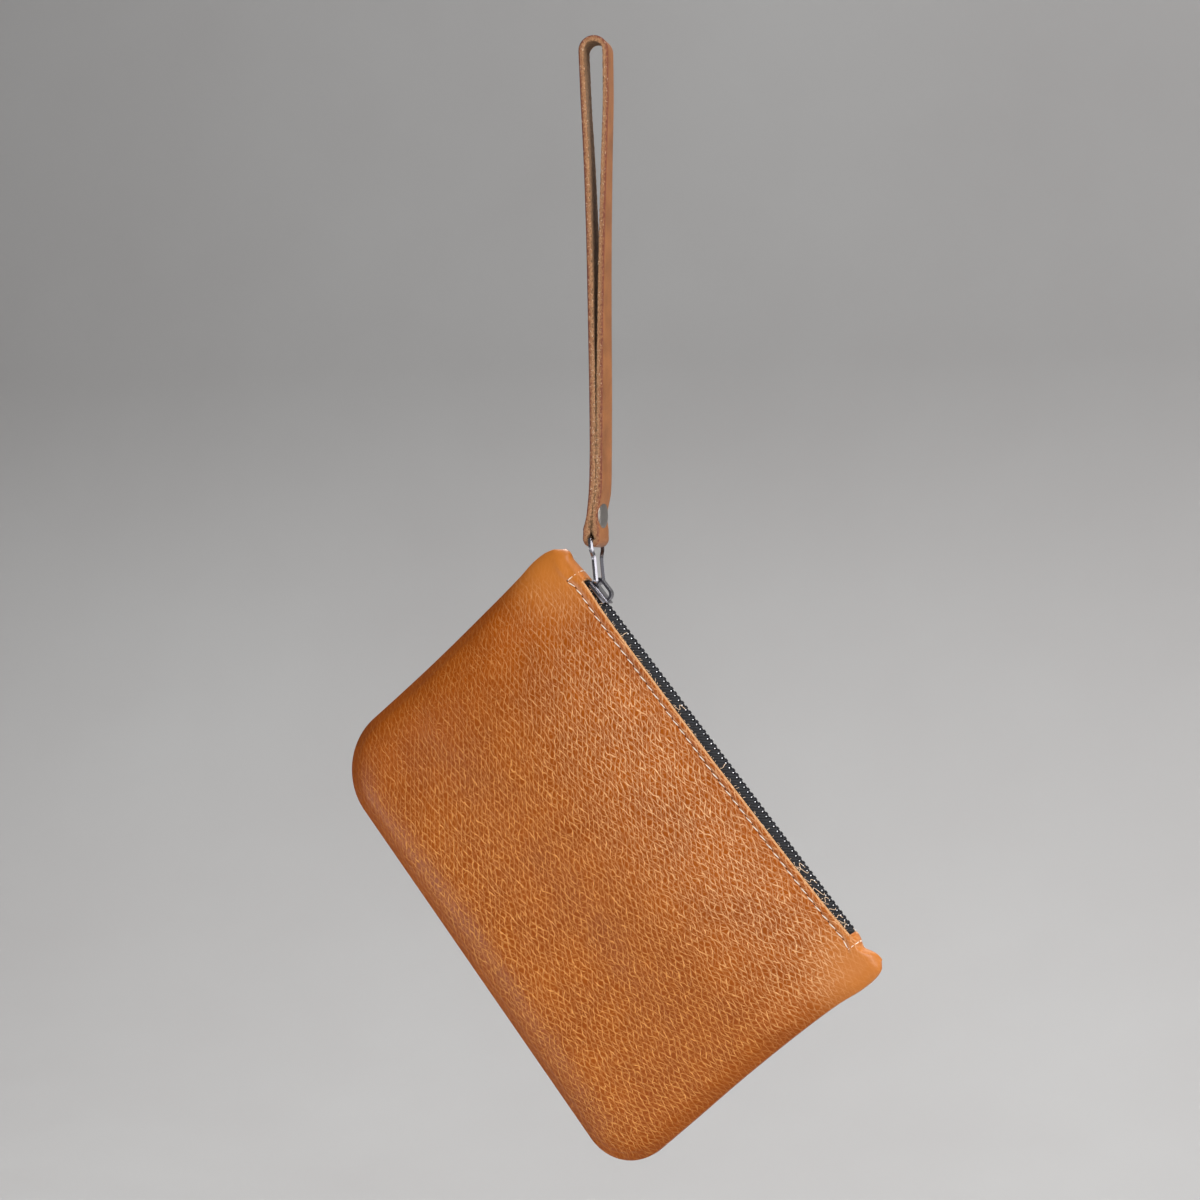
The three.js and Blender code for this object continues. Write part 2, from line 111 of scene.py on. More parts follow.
# %% [markdown]
# ## Helpers for pieces and finishes
# A mesh is shaped in a bmesh, mostly in millimetres. One helper puts it in its place and turns it into a
# finished piece that rides on its body. A second adds one shader node with its settings and links, and a
# third reads colours.

# %% Make a piece
def make_piece(name, bm, finishes, body, nodes=(), sharp=35, place=None):
    """Puts a bmesh in its place and makes it a piece that rides on a body and stands for CAD nodes."""
    if place is not None:
        bmesh.ops.transform(bm, matrix=place, verts=bm.verts)
    mesh = bpy.data.meshes.new(name)
    bm.to_mesh(mesh)
    bm.free()
    for finish in finishes:
        mesh.materials.append(finish)
    mesh.shade_smooth()
    mesh.set_sharp_from_angle(angle=math.radians(sharp))
    piece = bpy.data.objects.new(name, mesh)
    bpy.context.scene.collection.objects.link(piece)
    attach(piece, body)
    if nodes:
        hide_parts(*nodes)
    print(name, len(mesh.polygons), "faces")
    return piece


# %% Add a node, read a colour
def add_node(tree, kind, settings=None, values=None, links=None):
    """Adds one node. Settings are its options, values fill sockets, links join sockets to sources."""
    made = tree.nodes.new(kind)
    for option, value in (settings or {}).items():
        setattr(made, option, value)
    for socket, value in (values or {}).items():
        made.inputs[socket].default_value = value
    for socket, source in (links or {}).items():
        tree.links.new(source, made.inputs[socket])
    return made


def colour(code):
    """Linear colour, with alpha, of an sRGB hex code."""
    parts = [int(code[i:i + 2], 16) / 255 for i in (1, 3, 5)]
    linear = [p / 12.92 if p <= 0.04045 else ((p + 0.055) / 1.055) ** 2.4 for p in parts]
    return (*linear, 1.0)


def new_finish(name):
    """A material with an empty tree that ends in one Principled shader."""
    finish = bpy.data.materials.new(name)
    finish.use_nodes = True
    tree = finish.node_tree
    tree.nodes.clear()
    shader = add_node(tree, "ShaderNodeBsdfPrincipled")
    add_node(tree, "ShaderNodeOutputMaterial", links={"Surface": shader.outputs["BSDF"]})
    return finish, tree, shader


print("mid grey in linear light:", round(colour("#808080")[0], 3))

# %% [markdown]
# ## Camera
# The clutch is seen level, from 20 degrees to its right, through a long lens about 1.1 m away.
# The picture is 1200 pixels square and one millimetre of the hanging strap is 2.9 pixels in it,
# which gives the lens.

# %% Camera
VIEW_TURN = math.radians(20)
VIEW_DISTANCE = 1.1
PIXELS_PER_MM = 2.9
PICTURE_PIXELS = 1200
SENSOR_MM = 36.0
VIEW_ASIDE = 1.4 * MM  # picture centre, right of the strap
VIEW_DROP = 192.0 * MM  # picture centre, below the strap's top

to_camera = Vector((math.sin(VIEW_TURN), -math.cos(VIEW_TURN), 0.0))
to_right = Vector((math.cos(VIEW_TURN), math.sin(VIEW_TURN), 0.0))
camera_data = bpy.data.cameras.new("camera")
camera_data.sensor_width = SENSOR_MM
camera_data.lens = SENSOR_MM * VIEW_DISTANCE / (PICTURE_PIXELS / PIXELS_PER_MM * MM)
camera = bpy.data.objects.new("camera", camera_data)
camera.location = to_right * VIEW_ASIDE + Vector((0, 0, -VIEW_DROP)) + to_camera * VIEW_DISTANCE
camera.rotation_euler = (-to_camera).to_track_quat("-Z", "Y").to_euler()
bpy.context.scene.collection.objects.link(camera)
bpy.context.scene.camera = camera
bpy.context.scene.view_settings.view_transform = "Standard"
print("lens:", round(camera_data.lens, 1), "mm")

# %% [markdown]
# ## Stage and light
# The stage is one pale sheet that runs along the floor and bends up far behind the clutch, so no corner
# shows. A soft window stands in front and a large one high on the right. Two narrow lights on the right
# draw the bright lines on the ring and on the strap's edge, and two low ones lay a sheen on the rolled
# bottom seam. The last light hangs over the back of the stage and brightens it towards the floor, and a
# weak sky fills in.

# %% Stage
FLOOR = -0.66
WALL = 1.9  # how far behind the clutch the stage stands up
BEND = 0.7  # radius of the bend from the floor to the wall
STAGE_HALF = 3.0
BLOTCHES_PER_M = 1.6  # so each is about 0.6 m across

# Rolled matte plaster: an even, pale grey without gloss
plaster, tree, shader = new_finish("matte_plaster")
place = add_node(tree, "ShaderNodeTexCoord")
blotch = add_node(tree, "ShaderNodeTexNoise",
                  values={"Scale": BLOTCHES_PER_M, "Detail": 4.0, "Roughness": 0.6},
                  links={"Vector": place.outputs["Object"]})
tone = add_node(tree, "ShaderNodeValToRGB", links={"Fac": blotch.outputs["Fac"]})
tone.color_ramp.elements[0].position = 0.35
tone.color_ramp.elements[0].color = colour("#b7b5b4")
tone.color_ramp.elements[1].position = 0.68
tone.color_ramp.elements[1].color = colour("#bdbcbb")
tree.links.new(tone.outputs["Color"], shader.inputs["Base Color"])
shader.inputs["Roughness"].default_value = 0.95


def sweep_edges(bm, vec):
    """Draws every edge out along a vector, which leaves faces behind."""
    swept = bmesh.ops.extrude_edge_only(bm, edges=bm.edges[:])
    drawn_out = [v for v in swept["geom"] if isinstance(v, bmesh.types.BMVert)]
    bmesh.ops.translate(bm, vec=vec, verts=drawn_out)


bm = bmesh.new()
start = bm.verts.new((0, -STAGE_HALF, FLOOR))
edge = bm.edges.new((start, bm.verts.new((0, WALL - BEND, FLOOR))))
bend = bmesh.ops.spin(bm, geom=[edge.verts[1]], cent=(0, WALL - BEND, FLOOR + BEND), axis=(1, 0, 0),
                      angle=math.pi / 2, steps=16)
last = next(v for v in bend["geom_last"] if isinstance(v, bmesh.types.BMVert))
bm.edges.new((last, bm.verts.new((0, WALL, STAGE_HALF))))
bmesh.ops.translate(bm, vec=(-STAGE_HALF, 0, 0), verts=bm.verts)
sweep_edges(bm, (2 * STAGE_HALF, 0, 0))
bmesh.ops.recalc_face_normals(bm, faces=bm.faces)
stage_mesh = bpy.data.meshes.new("stage")
bm.to_mesh(stage_mesh)
bm.free()
stage_mesh.materials.append(plaster)
stage_mesh.shade_smooth()
stage = bpy.data.objects.new("stage", stage_mesh)
bpy.context.scene.collection.objects.link(stage)
print("stage:", len(stage_mesh.polygons), "faces")

# %% Lights
CLUTCH_MIDDLE = (0.0, 0.0, -0.26)
LIGHTS = [
    {"name": "window", "at": (0.4, -1.1, -0.05), "size": 1.0, "watts": 1.5, "to": CLUTCH_MIDDLE},
    {"name": "high_right", "at": (0.8, -0.5, 0.68), "size": 0.6, "watts": 13.5, "to": CLUTCH_MIDDLE},
    {"name": "side_right", "at": (0.86, -0.54, -0.2), "size": 0.42, "watts": 4.2, "to": CLUTCH_MIDDLE},
    {"name": "rim_right", "at": (0.9, 0.33, -0.17), "size": 0.35, "watts": 1.6, "to": CLUTCH_MIDDLE},
    {"name": "low_front", "at": (0.0, -0.6, -0.56), "size": 0.5, "watts": 0.9, "to": CLUTCH_MIDDLE},
    {"name": "low_left", "at": (-0.6, -0.44, -0.5), "size": 0.28, "watts": 2.4, "to": CLUTCH_MIDDLE},
    {"name": "overhead", "at": (-0.1, 1.62, 2.6), "size": 0.6, "watts": 81.0, "to": (-0.1, 1.62, -0.6)},
]
SKY_STRENGTH = 0.23

for row in LIGHTS:
    light_data = bpy.data.lights.new(row["name"], "AREA")
    light_data.size = row["size"]
    light_data.energy = row["watts"]
    light = bpy.data.objects.new(row["name"], light_data)
    light.location = row["at"]
    light.rotation_euler = (Vector(row["to"]) - light.location).to_track_quat("-Z", "Y").to_euler()
    bpy.context.scene.collection.objects.link(light)

sky = bpy.data.worlds.new("soft_sky")
sky.use_nodes = True
sky.node_tree.nodes["Background"].inputs["Color"].default_value = colour("#eef0f2")
sky.node_tree.nodes["Background"].inputs["Strength"].default_value = SKY_STRENGTH
bpy.context.scene.world = sky
print("lights:", len(LIGHTS))

# %% [markdown]
# ## Pebbled leather
# The pouch is vegetable-tanned cow hide, tumbled so that its grain breaks into small pebbles. The creases
# between pebbles are paler than their tops. They run in two slanting sets that cross into small diamonds,
# with a finer net between them, and they fade and break into flecks. Two wave textures, a net of cells
# and some noise draw them, measured in millimetres along the leather's own map, so that the grain follows
# the surface. The pebble tops shine softly, and the creases are dull. Where the hide is pulled tight, at
# the seams and the folded corners, the mesh carries a lower share of grain. Hands have rubbed those
# corners to a polish. They are painted paler too, partly for the creases they lack and partly as a painted
# highlight. The creases are painted paler towards the zip as a sheen, and the tan is darker at the bottom.

# %% Leather map, bent a little
BENDS_PER_MM = 0.12  # the creases bend about every 8 mm
BEND_REACH = 3.4  # and wander by up to this many millimetres

# Tumbled cow hide: tan pebbles with a soft shine between pale, dull creases
pebbled, tree, shader = new_finish("pebbled_cow_hide")
leather_map = add_node(tree, "ShaderNodeUVMap", {"uv_map": "leather_mm"})
wander = add_node(tree, "ShaderNodeTexNoise", {"noise_dimensions": "2D"},
                  {"Scale": BENDS_PER_MM, "Detail": 3.0, "Roughness": 0.55},
                  {"Vector": leather_map.outputs["UV"]})
shift = add_node(tree, "ShaderNodeVectorMath", {"operation": "SCALE"}, {"Scale": BEND_REACH},
                 {0: wander.outputs["Color"]})
moved = add_node(tree, "ShaderNodeVectorMath", {"operation": "ADD"},
                 links={0: leather_map.outputs["UV"], 1: shift.outputs["Vector"]})
print("leather map nodes:", len(tree.nodes))

# %% Creases
# Degrees from the zip, millimetres apart, and how pale the set is at least and at most
CREASE_SETS = [
    {"lean": -30.0, "apart": 1.75, "pale": (0.5, 1.0)},
    {"lean": 14.0, "apart": 1.9, "pale": (1.0, 0.4)},
]
WAVE_LENGTH = math.pi / 10  # a wave texture's own step at scale 1
FINE_LONG, FINE_WIDE, FINE_LEAN = 2.1, 1.25, -11.0  # the fine net's cells, in millimetres and degrees
STREAKS_PER_MM = (0.2, 0.5, 1)  # the creases fade in streaks about 5 mm long and 2 mm wide

streak_map = add_node(tree, "ShaderNodeMapping", values={"Scale": STREAKS_PER_MM},
                      links={"Vector": moved.outputs["Vector"]})
streaks = add_node(tree, "ShaderNodeTexNoise", {"noise_dimensions": "2D"},
                   {"Scale": 1.0, "Detail": 3.0, "Roughness": 0.6},
                   {"Vector": streak_map.outputs["Vector"]})
fine_map = add_node(tree, "ShaderNodeMapping", {"vector_type": "TEXTURE"},
                    {"Rotation": (0, 0, math.radians(FINE_LEAN)), "Scale": (FINE_LONG, FINE_WIDE, 1)},
                    {"Vector": moved.outputs["Vector"]})
fine_net = add_node(tree, "ShaderNodeTexVoronoi",
                    {"voronoi_dimensions": "2D", "feature": "DISTANCE_TO_EDGE"},
                    {"Scale": 1.0}, {"Vector": fine_map.outputs["Vector"]})
creases = add_node(tree, "ShaderNodeMapRange", {"interpolation_type": "SMOOTHSTEP"},
                   {"From Min": 0.0, "From Max": 0.15, "To Min": 0.4, "To Max": 0.0},
                   {"Value": fine_net.outputs["Distance"]}).outputs["Result"]
for row in CREASE_SETS:
    across = add_node(tree, "ShaderNodeMapping",
                      values={"Rotation": (0, 0, -math.radians(row["lean"] + 90))},
                      links={"Vector": moved.outputs["Vector"]})
    bands = add_node(tree, "ShaderNodeTexWave", {"wave_type": "BANDS", "bands_direction": "X"},
                     {"Scale": WAVE_LENGTH / row["apart"], "Distortion": 2.0, "Detail": 2.0,
                      "Detail Scale": 0.9},
                     {"Vector": across.outputs["Vector"]})
    line = add_node(tree, "ShaderNodeMapRange", {"interpolation_type": "SMOOTHSTEP"},
                    {"From Min": 0.84, "From Max": 1.0}, {"Value": bands.outputs["Fac"]})
    least, most = row["pale"]
    share = add_node(tree, "ShaderNodeMapRange",
                     values={"From Min": 0.36, "From Max": 0.64, "To Min": least, "To Max": most},
                     links={"Value": streaks.outputs["Fac"]})
    broken = add_node(tree, "ShaderNodeMath", {"operation": "MULTIPLY"},
                      links={0: line.outputs["Result"], 1: share.outputs["Result"]})
    creases = add_node(tree, "ShaderNodeMath", {"operation": "MAXIMUM"},
                       links={0: creases, 1: broken.outputs["Value"]}).outputs["Value"]
print("crease nodes so far:", len(tree.nodes))

# %% Flecks and the share of grain
FLECKS_PER_MM = 0.45  # so each is about 2 mm across

flecks = add_node(tree, "ShaderNodeTexNoise", {"noise_dimensions": "2D"},
                  {"Scale": FLECKS_PER_MM, "Detail": 2.0, "Roughness": 0.6},
                  {"Vector": moved.outputs["Vector"]})
fleck_share = add_node(tree, "ShaderNodeMapRange",
                       values={"From Min": 0.36, "From Max": 0.6, "To Min": 0.4, "To Max": 1.0},
                       links={"Value": flecks.outputs["Fac"]})
flecked = add_node(tree, "ShaderNodeMath", {"operation": "MULTIPLY"},
                   links={0: creases, 1: fleck_share.outputs["Result"]})
grain_share = add_node(tree, "ShaderNodeAttribute", {"attribute_name": "grain_share"})
pale = add_node(tree, "ShaderNodeMath", {"operation": "MULTIPLY"},
                links={0: flecked.outputs["Value"], 1: grain_share.outputs["Fac"]})
print("grain nodes so far:", len(tree.nodes))

# %% Tan
PATCHES_PER_MM = 0.06  # the tan is cloudy, about 17 mm from cloud to cloud
DEEP_UP, SHEEN_UP = -65.0, -5.0  # millimetres above the zip's middle where the darker tan ends and the painted sheen is full

patches = add_node(tree, "ShaderNodeTexNoise", {"noise_dimensions": "2D"},
                   {"Scale": PATCHES_PER_MM, "Detail": 3.0, "Roughness": 0.55},
                   {"Vector": leather_map.outputs["UV"]})
ground = add_node(tree, "ShaderNodeValToRGB", links={"Fac": patches.outputs["Fac"]})
ground.color_ramp.elements[0].position = 0.3
ground.color_ramp.elements[0].color = colour("#8c4101")
ground.color_ramp.elements[1].position = 0.7
ground.color_ramp.elements[1].color = colour("#9d4d02")
map_parts = add_node(tree, "ShaderNodeSeparateXYZ", links={"Vector": leather_map.outputs["UV"]})
# Painted sheen: the creases are painted paler towards the zip, and the tan is darker towards the bottom
painted_sheen_towards_zip = add_node(tree, "ShaderNodeMapRange", {"interpolation_type": "SMOOTHSTEP"},
                {"From Min": DEEP_UP, "From Max": SHEEN_UP}, {"Value": map_parts.outputs["Y"]})
crease_tone_and_sheen = add_node(tree, "ShaderNodeValToRGB", links={"Fac": painted_sheen_towards_zip.outputs["Result"]})
crease_tone_and_sheen.color_ramp.elements[0].color = colour("#d8954f")
crease_tone_and_sheen.color_ramp.elements[1].color = colour("#efbc89")
# A Mix node keeps its colour sockets at 6 and 7, its factor at 0, and its mixed colour at output 2
deep = add_node(tree, "ShaderNodeMapRange", values={"To Min": 0.55, "To Max": 1.0},
                links={"Value": painted_sheen_towards_zip.outputs["Result"]})
toned = add_node(tree, "ShaderNodeMix", {"data_type": "RGBA"}, {6: colour("#783400")},
                 {0: deep.outputs["Result"], 7: ground.outputs["Color"]})
# Folded corners: polished, and painted paler, partly for the creases they lack and partly as painted
# highlight
rubbed_and_lit = add_node(tree, "ShaderNodeAttribute", {"attribute_name": "rubbed_and_lit"})
corner_tone_and_highlight = add_node(tree, "ShaderNodeMix", {"data_type": "RGBA"}, {7: colour("#b56920")},
                   {0: rubbed_and_lit.outputs["Fac"], 6: toned.outputs[2]})
tan = add_node(tree, "ShaderNodeMix", {"data_type": "RGBA"},
               links={0: pale.outputs["Value"], 6: corner_tone_and_highlight.outputs[2], 7: crease_tone_and_sheen.outputs["Color"]})
tree.links.new(tan.outputs[2], shader.inputs["Base Color"])
print("tan nodes so far:", len(tree.nodes))

# %% Gloss and relief
CREASE_DEPTH = 0.0002  # metres

relief = add_node(tree, "ShaderNodeBump", {"invert": True}, {"Strength": 0.7, "Distance": CREASE_DEPTH},
                  {"Height": pale.outputs["Value"]})
gloss = add_node(tree, "ShaderNodeMapRange", values={"To Min": 0.4, "To Max": 0.5},
                 links={"Value": pale.outputs["Value"]})
polish = add_node(tree, "ShaderNodeMapRange", values={"To Min": 0.17, "To Max": 0.4},
                  links={"Value": rubbed_and_lit.outputs["Fac"]})
tree.links.new(polish.outputs["Result"], shader.inputs["Specular IOR Level"])
tree.links.new(gloss.outputs["Result"], shader.inputs["Roughness"])
tree.links.new(relief.outputs["Normal"], shader.inputs["Normal"])
print("pebbled hide nodes:", len(tree.nodes))

# %% [markdown]
# The cut edges show the hide's inside: paler, dry and fibrous. The flesh side is brushed like suede. Both
# are the same fuzz of fibres in other colours and sizes, so one function makes them.

# %% Cut edge and flesh side
def fibrous_finish(name, dark, light, fibre_mm):
    """Dry matted fibres: two close tones and a rough nap without gloss."""
    finish, tree, shader = new_finish(name)
    place = add_node(tree, "ShaderNodeTexCoord")
    fibres = add_node(tree, "ShaderNodeTexNoise",
                      values={"Scale": 1 / (fibre_mm * MM), "Detail": 4.0, "Roughness": 0.7},
                      links={"Vector": place.outputs["Object"]})
    tone = add_node(tree, "ShaderNodeValToRGB", links={"Fac": fibres.outputs["Fac"]})
    tone.color_ramp.elements[0].position = 0.32
    tone.color_ramp.elements[0].color = colour(dark)
    tone.color_ramp.elements[1].position = 0.68
    tone.color_ramp.elements[1].color = colour(light)
    nap = add_node(tree, "ShaderNodeBump", values={"Strength": 0.8, "Distance": 0.0003},
                   links={"Height": fibres.outputs["Fac"]})
    tree.links.new(tone.outputs["Color"], shader.inputs["Base Color"])
    tree.links.new(nap.outputs["Normal"], shader.inputs["Normal"])
    shader.inputs["Roughness"].default_value = 0.9
    return finish


slot_edge = fibrous_finish("cut_hide_edge", "#a97140", "#dba878", 0.9)
pouch_flesh = fibrous_finish("brushed_flesh_side", "#8a5a35", "#b98c62", 1.2)
print("fibrous finishes:", slot_edge.name, pouch_flesh.name)

# %% [markdown]
# ## Pouch
# One sheet of hide is folded over the top, with a slot cut along the fold for the zip. The sides and the
# bottom are sewn inside out and turned, so each panel rolls over into a thin groove at the seam. A flat
# grid for each panel is carried onto the form by a few sizes and short tables: the heights of the slot's
# lips and of the fold beyond them, the distance from the zip's middle to each side seam, and the swells
# and hollows of the worn panels. The front and back grids meet in the seam and along the folded corners,
# whose tips are rounded by smoothing. A Solidify modifier then gives the wall its thickness.

# %% Pouch sizes
LEATHER_WALL = 1.5
SLOT_END = {-1: 76.75, 1: 75.0}  # from the zip's middle to the slot's two ends
LIP_HALF = 4.4  # half thickness at the slot
BELLY_HALF = 7.4  # half thickness where the pouch is fullest
BELLY_DROP = 72.0  # and how far below the zip that is
SEAM_ROLL = 17.0  # width of the roll into a seam
POUCH_DROP = 115.1  # from the zip to the bottom seam
BOTTOM_SLOPE = 0.022
CORNER = {-1: 23.0, 1: 18.0}  # bottom corner radius, left and right
CORNER_U = 72.0
COLUMNS, FOLD_ROWS, PANEL_ROWS = 170, 8, 110
SLOT_COLUMNS = 62  # columns from the middle to the slot's end
SLOT_SHARE = SLOT_COLUMNS / (COLUMNS / 2)
print("pouch:", POUCH_DROP, "mm deep, slot", SLOT_END[-1] + SLOT_END[1], "mm long")

# %% Pouch tables
# Height of the slot's lips, and of the start of the fold beyond them
LIPS = [
    {"u": 0, "left": 0.6, "right": 0.6},
    {"u": 40, "left": 0.95, "right": 0.95},
    {"u": 64, "left": 1.35, "right": 1.4},
    {"u": 76, "left": 2.1, "right": 2.0},
    {"u": 80, "left": 1.3, "right": 0.4},
    {"u": 84, "left": 0.2, "right": 0.8},
    {"u": 90, "left": -0.8, "right": 0.2},
]
# Height of the fold's crest
CRESTS = [
    {"u": 75.0, "left": 3.2, "right": 2.9},
    {"u": 77.5, "left": 3.25, "right": 2.75},
    {"u": 80.6, "left": 3.2, "right": 1.8},
    {"u": 83.3, "left": 3.0, "right": 3.4},
    {"u": 86.2, "left": 2.9, "right": 4.7},
    {"u": 88.4, "left": 3.8, "right": 5.0},
    {"u": 90.4, "left": 3.1, "right": 4.9},
]
# From the zip's middle to the side seams
SIDES = [
    {"drop": -5.0, "left": 89.2, "right": 88.0},
    {"drop": -3.9, "left": 90.3, "right": 89.0},
    {"drop": -1.8, "left": 91.7, "right": 90.4},
    {"drop": 3.5, "left": 93.7, "right": 91.5},
    {"drop": 8.5, "left": 94.0, "right": 91.4},
    {"drop": 16.0, "left": 93.1, "right": 90.5},
    {"drop": 36.0, "left": 91.5, "right": 89.9},
    {"drop": 60.0, "left": 90.0, "right": 90.2},
    {"drop": 84.0, "left": 89.2, "right": 91.2},
    {"drop": 116.0, "left": 88.8, "right": 92.3},
]
# Swells and hollows: where, how wide, how tall and how far out
DENTS = [
    {"face": -1, "u": 24, "drop": 74, "span_u": 34, "span_drop": 13, "out": -1.9},
    {"face": -1, "u": 80, "drop": 76, "span_u": 12, "span_drop": 22, "out": -1.5},
    {"face": -1, "u": -62, "drop": 90, "span_u": 24, "span_drop": 20, "out": -1.6},
    {"face": -1, "u": 22, "drop": 103, "span_u": 46, "span_drop": 8, "out": 1.0},
    {"face": -1, "u": -36, "drop": 20, "span_u": 20, "span_drop": 12, "out": 0.7},
    {"face": -1, "u": 16, "drop": 20, "span_u": 18, "span_drop": 12, "out": 0.7},
    {"face": -1, "u": -74, "drop": 27, "span_u": 8, "span_drop": 14, "out": -1.0},
    {"face": -1, "u": -85.5, "drop": 1.8, "span_u": 4, "span_drop": 1.4, "out": 0.55},
    {"face": -1, "u": -86.5, "drop": -0.6, "span_u": 4, "span_drop": 1.1, "out": -0.45},
    {"face": 1, "u": -20, "drop": 66, "span_u": 38, "span_drop": 16, "out": -1.6},
    {"face": 1, "u": 52, "drop": 98, "span_u": 30, "span_drop": 10, "out": 0.8},
]
print("swells and hollows:", len(DENTS))

# %% Pouch outline
SIDE_NAME = {-1: "left", 1: "right"}


def side_of(u):
    return -1 if u < 0 else 1


def lip_up(u):
    """Height of the slot's edge, and of the start of the fold beyond it."""
    return read_table(LIPS, "u", SIDE_NAME[side_of(u)], abs(u))


def crest_up(u):
    """Height of the fold's crest, beyond the slot's ends."""
    return read_table(CRESTS, "u", SIDE_NAME[side_of(u)], abs(u))


def bottom_drop(u):
    return POUCH_DROP + BOTTOM_SLOPE * u


def side_straight(side, drop):
    return read_table(SIDES, "drop", SIDE_NAME[side], drop)


def side_reach(side, drop):
    """Distance from the middle to the side seam, with the bottom corner's arc taken off."""
    radius = CORNER[side]
    straight = side_straight(side, drop)
    from_arc = drop - (bottom_drop(side * CORNER_U) - radius)
    if from_arc <= 0:
        return straight
    return straight - radius + math.sqrt(max(radius * radius - from_arc * from_arc, 0))


def seam_distance(u, drop):
    """Distance from the nearest seam, along the panel."""
    radius = CORNER[side_of(u)]
    to_side = side_straight(side_of(u), drop) - abs(u)
    to_bottom = bottom_drop(u) - drop
    if to_side >= radius or to_bottom >= radius:
        return min(to_side, to_bottom)
    return radius - math.hypot(radius - to_side, radius - to_bottom)


print("side seams at half depth:", [round(side_reach(side, POUCH_DROP / 2), 1) for side in (-1, 1)])

# %% Pouch thickness
# The last of the way to a seam: distance walked, distance in from the seam, half thickness
SEAM_LIP = [
    {"at": 0.0, "in": 1.5, "half": 0.0},
    {"at": 0.5, "in": 0.75, "half": 0.18},
    {"at": 1.0, "in": 0.2, "half": 0.65},
    {"at": 1.5, "in": 0.0, "half": 1.3},
    {"at": 2.2, "in": 0.25, "half": 2.1},
]
SEAM_LIP_END = SEAM_LIP[-1]["at"]


def dent_at(face, u, drop):
    """How far the swells and hollows push a point of a panel out."""
    out = 0.0
    for dent in DENTS:
        if dent["face"] == face:
            along = (u - dent["u"]) / dent["span_u"]
            down = (drop - dent["drop"]) / dent["span_drop"]
            out += dent["out"] * math.exp(-along * along - down * down)
    return out


def slow_waves(face, u, drop):
    """Slow unevenness of soft hide, with small puckers near the seams."""
    slow = noise.noise(Vector((u / 34, drop / 26, 7.3 * face))) * 0.55
    quick = noise.noise(Vector((u / 11, drop / 9, 3.1 * face))) * 0.16
    near_seam = math.exp(-max(seam_distance(u, drop), 0) / 9)
    pucker = noise.noise(Vector((u / 5.5, drop / 5.5, 11.7 * face))) * 0.35 * near_seam
    return slow + quick + pucker


# %% Swell along the slot
# Distance from the slot's edge to the row of stitches
STITCHES = [
    {"u": -80.3, "below": 3.6},
    {"u": -64.0, "below": 3.2},
    {"u": -44.0, "below": 2.75},
    {"u": 78.5, "below": 2.75},
]
STITCH_END = {-1: 80.3, 1: 78.5}


def stitch_below(u):
    return read_table(STITCHES, "u", "below", u)


def slot_relief(u, below):
    """The leather swells along its cut edge and is drawn in by the stitches."""
    near = 1 - smooth_step(-1, 2, abs(u) - STITCH_END[side_of(u)])
    groove = -0.35 * math.exp(-((below - stitch_below(u)) / 0.6) ** 2)
    swell = 0.22 * math.exp(-((below - 1.5) / 0.8) ** 2)
    edge = -0.25 * math.exp(-(below / 0.5) ** 2)
    return (groove + swell + edge) * near


def half_thickness(face, u, drop):
    """Distance of a panel's outer face from the pouch's middle plane."""
    full = mix(LIP_HALF, BELLY_HALF, smooth_step(-10, BELLY_DROP, drop)) + dent_at(face, u, drop)
    full += slow_waves(face, u, drop) * smooth_step(2, 14, drop) + slot_relief(u, drop + lip_up(u))
    first = SEAM_LIP[-1]["half"]
    in_roll = min(max((seam_distance(u, drop) - SEAM_LIP_END) / (SEAM_ROLL - SEAM_LIP_END), 0), 1)
    return mix(first, full, math.sqrt(1 - (1 - in_roll) ** 2))


print("half thickness of the front's middle:", round(half_thickness(-1, 0, BELLY_DROP), 2), "mm")

# %% Carry a grid onto the pouch
GATHER = 1.35  # columns lie closer together near the side seams
# Share of the panel's depth at which a row of the grid lies
PANEL_ROW_SHARES = [
    {"row": 0, "share": 0.0},
    {"row": 26, "share": 0.08},
    {"row": 88, "share": 0.86},
    {"row": 102, "share": 0.98},
    {"row": 110, "share": 1.0},
]
EAR_U = 90.0  # where the folded corners end
LET_GO = (8, 45)  # drops between which the columns let go of the slot's ends
PROBE = 0.05  # a short step that finds the way into the panel


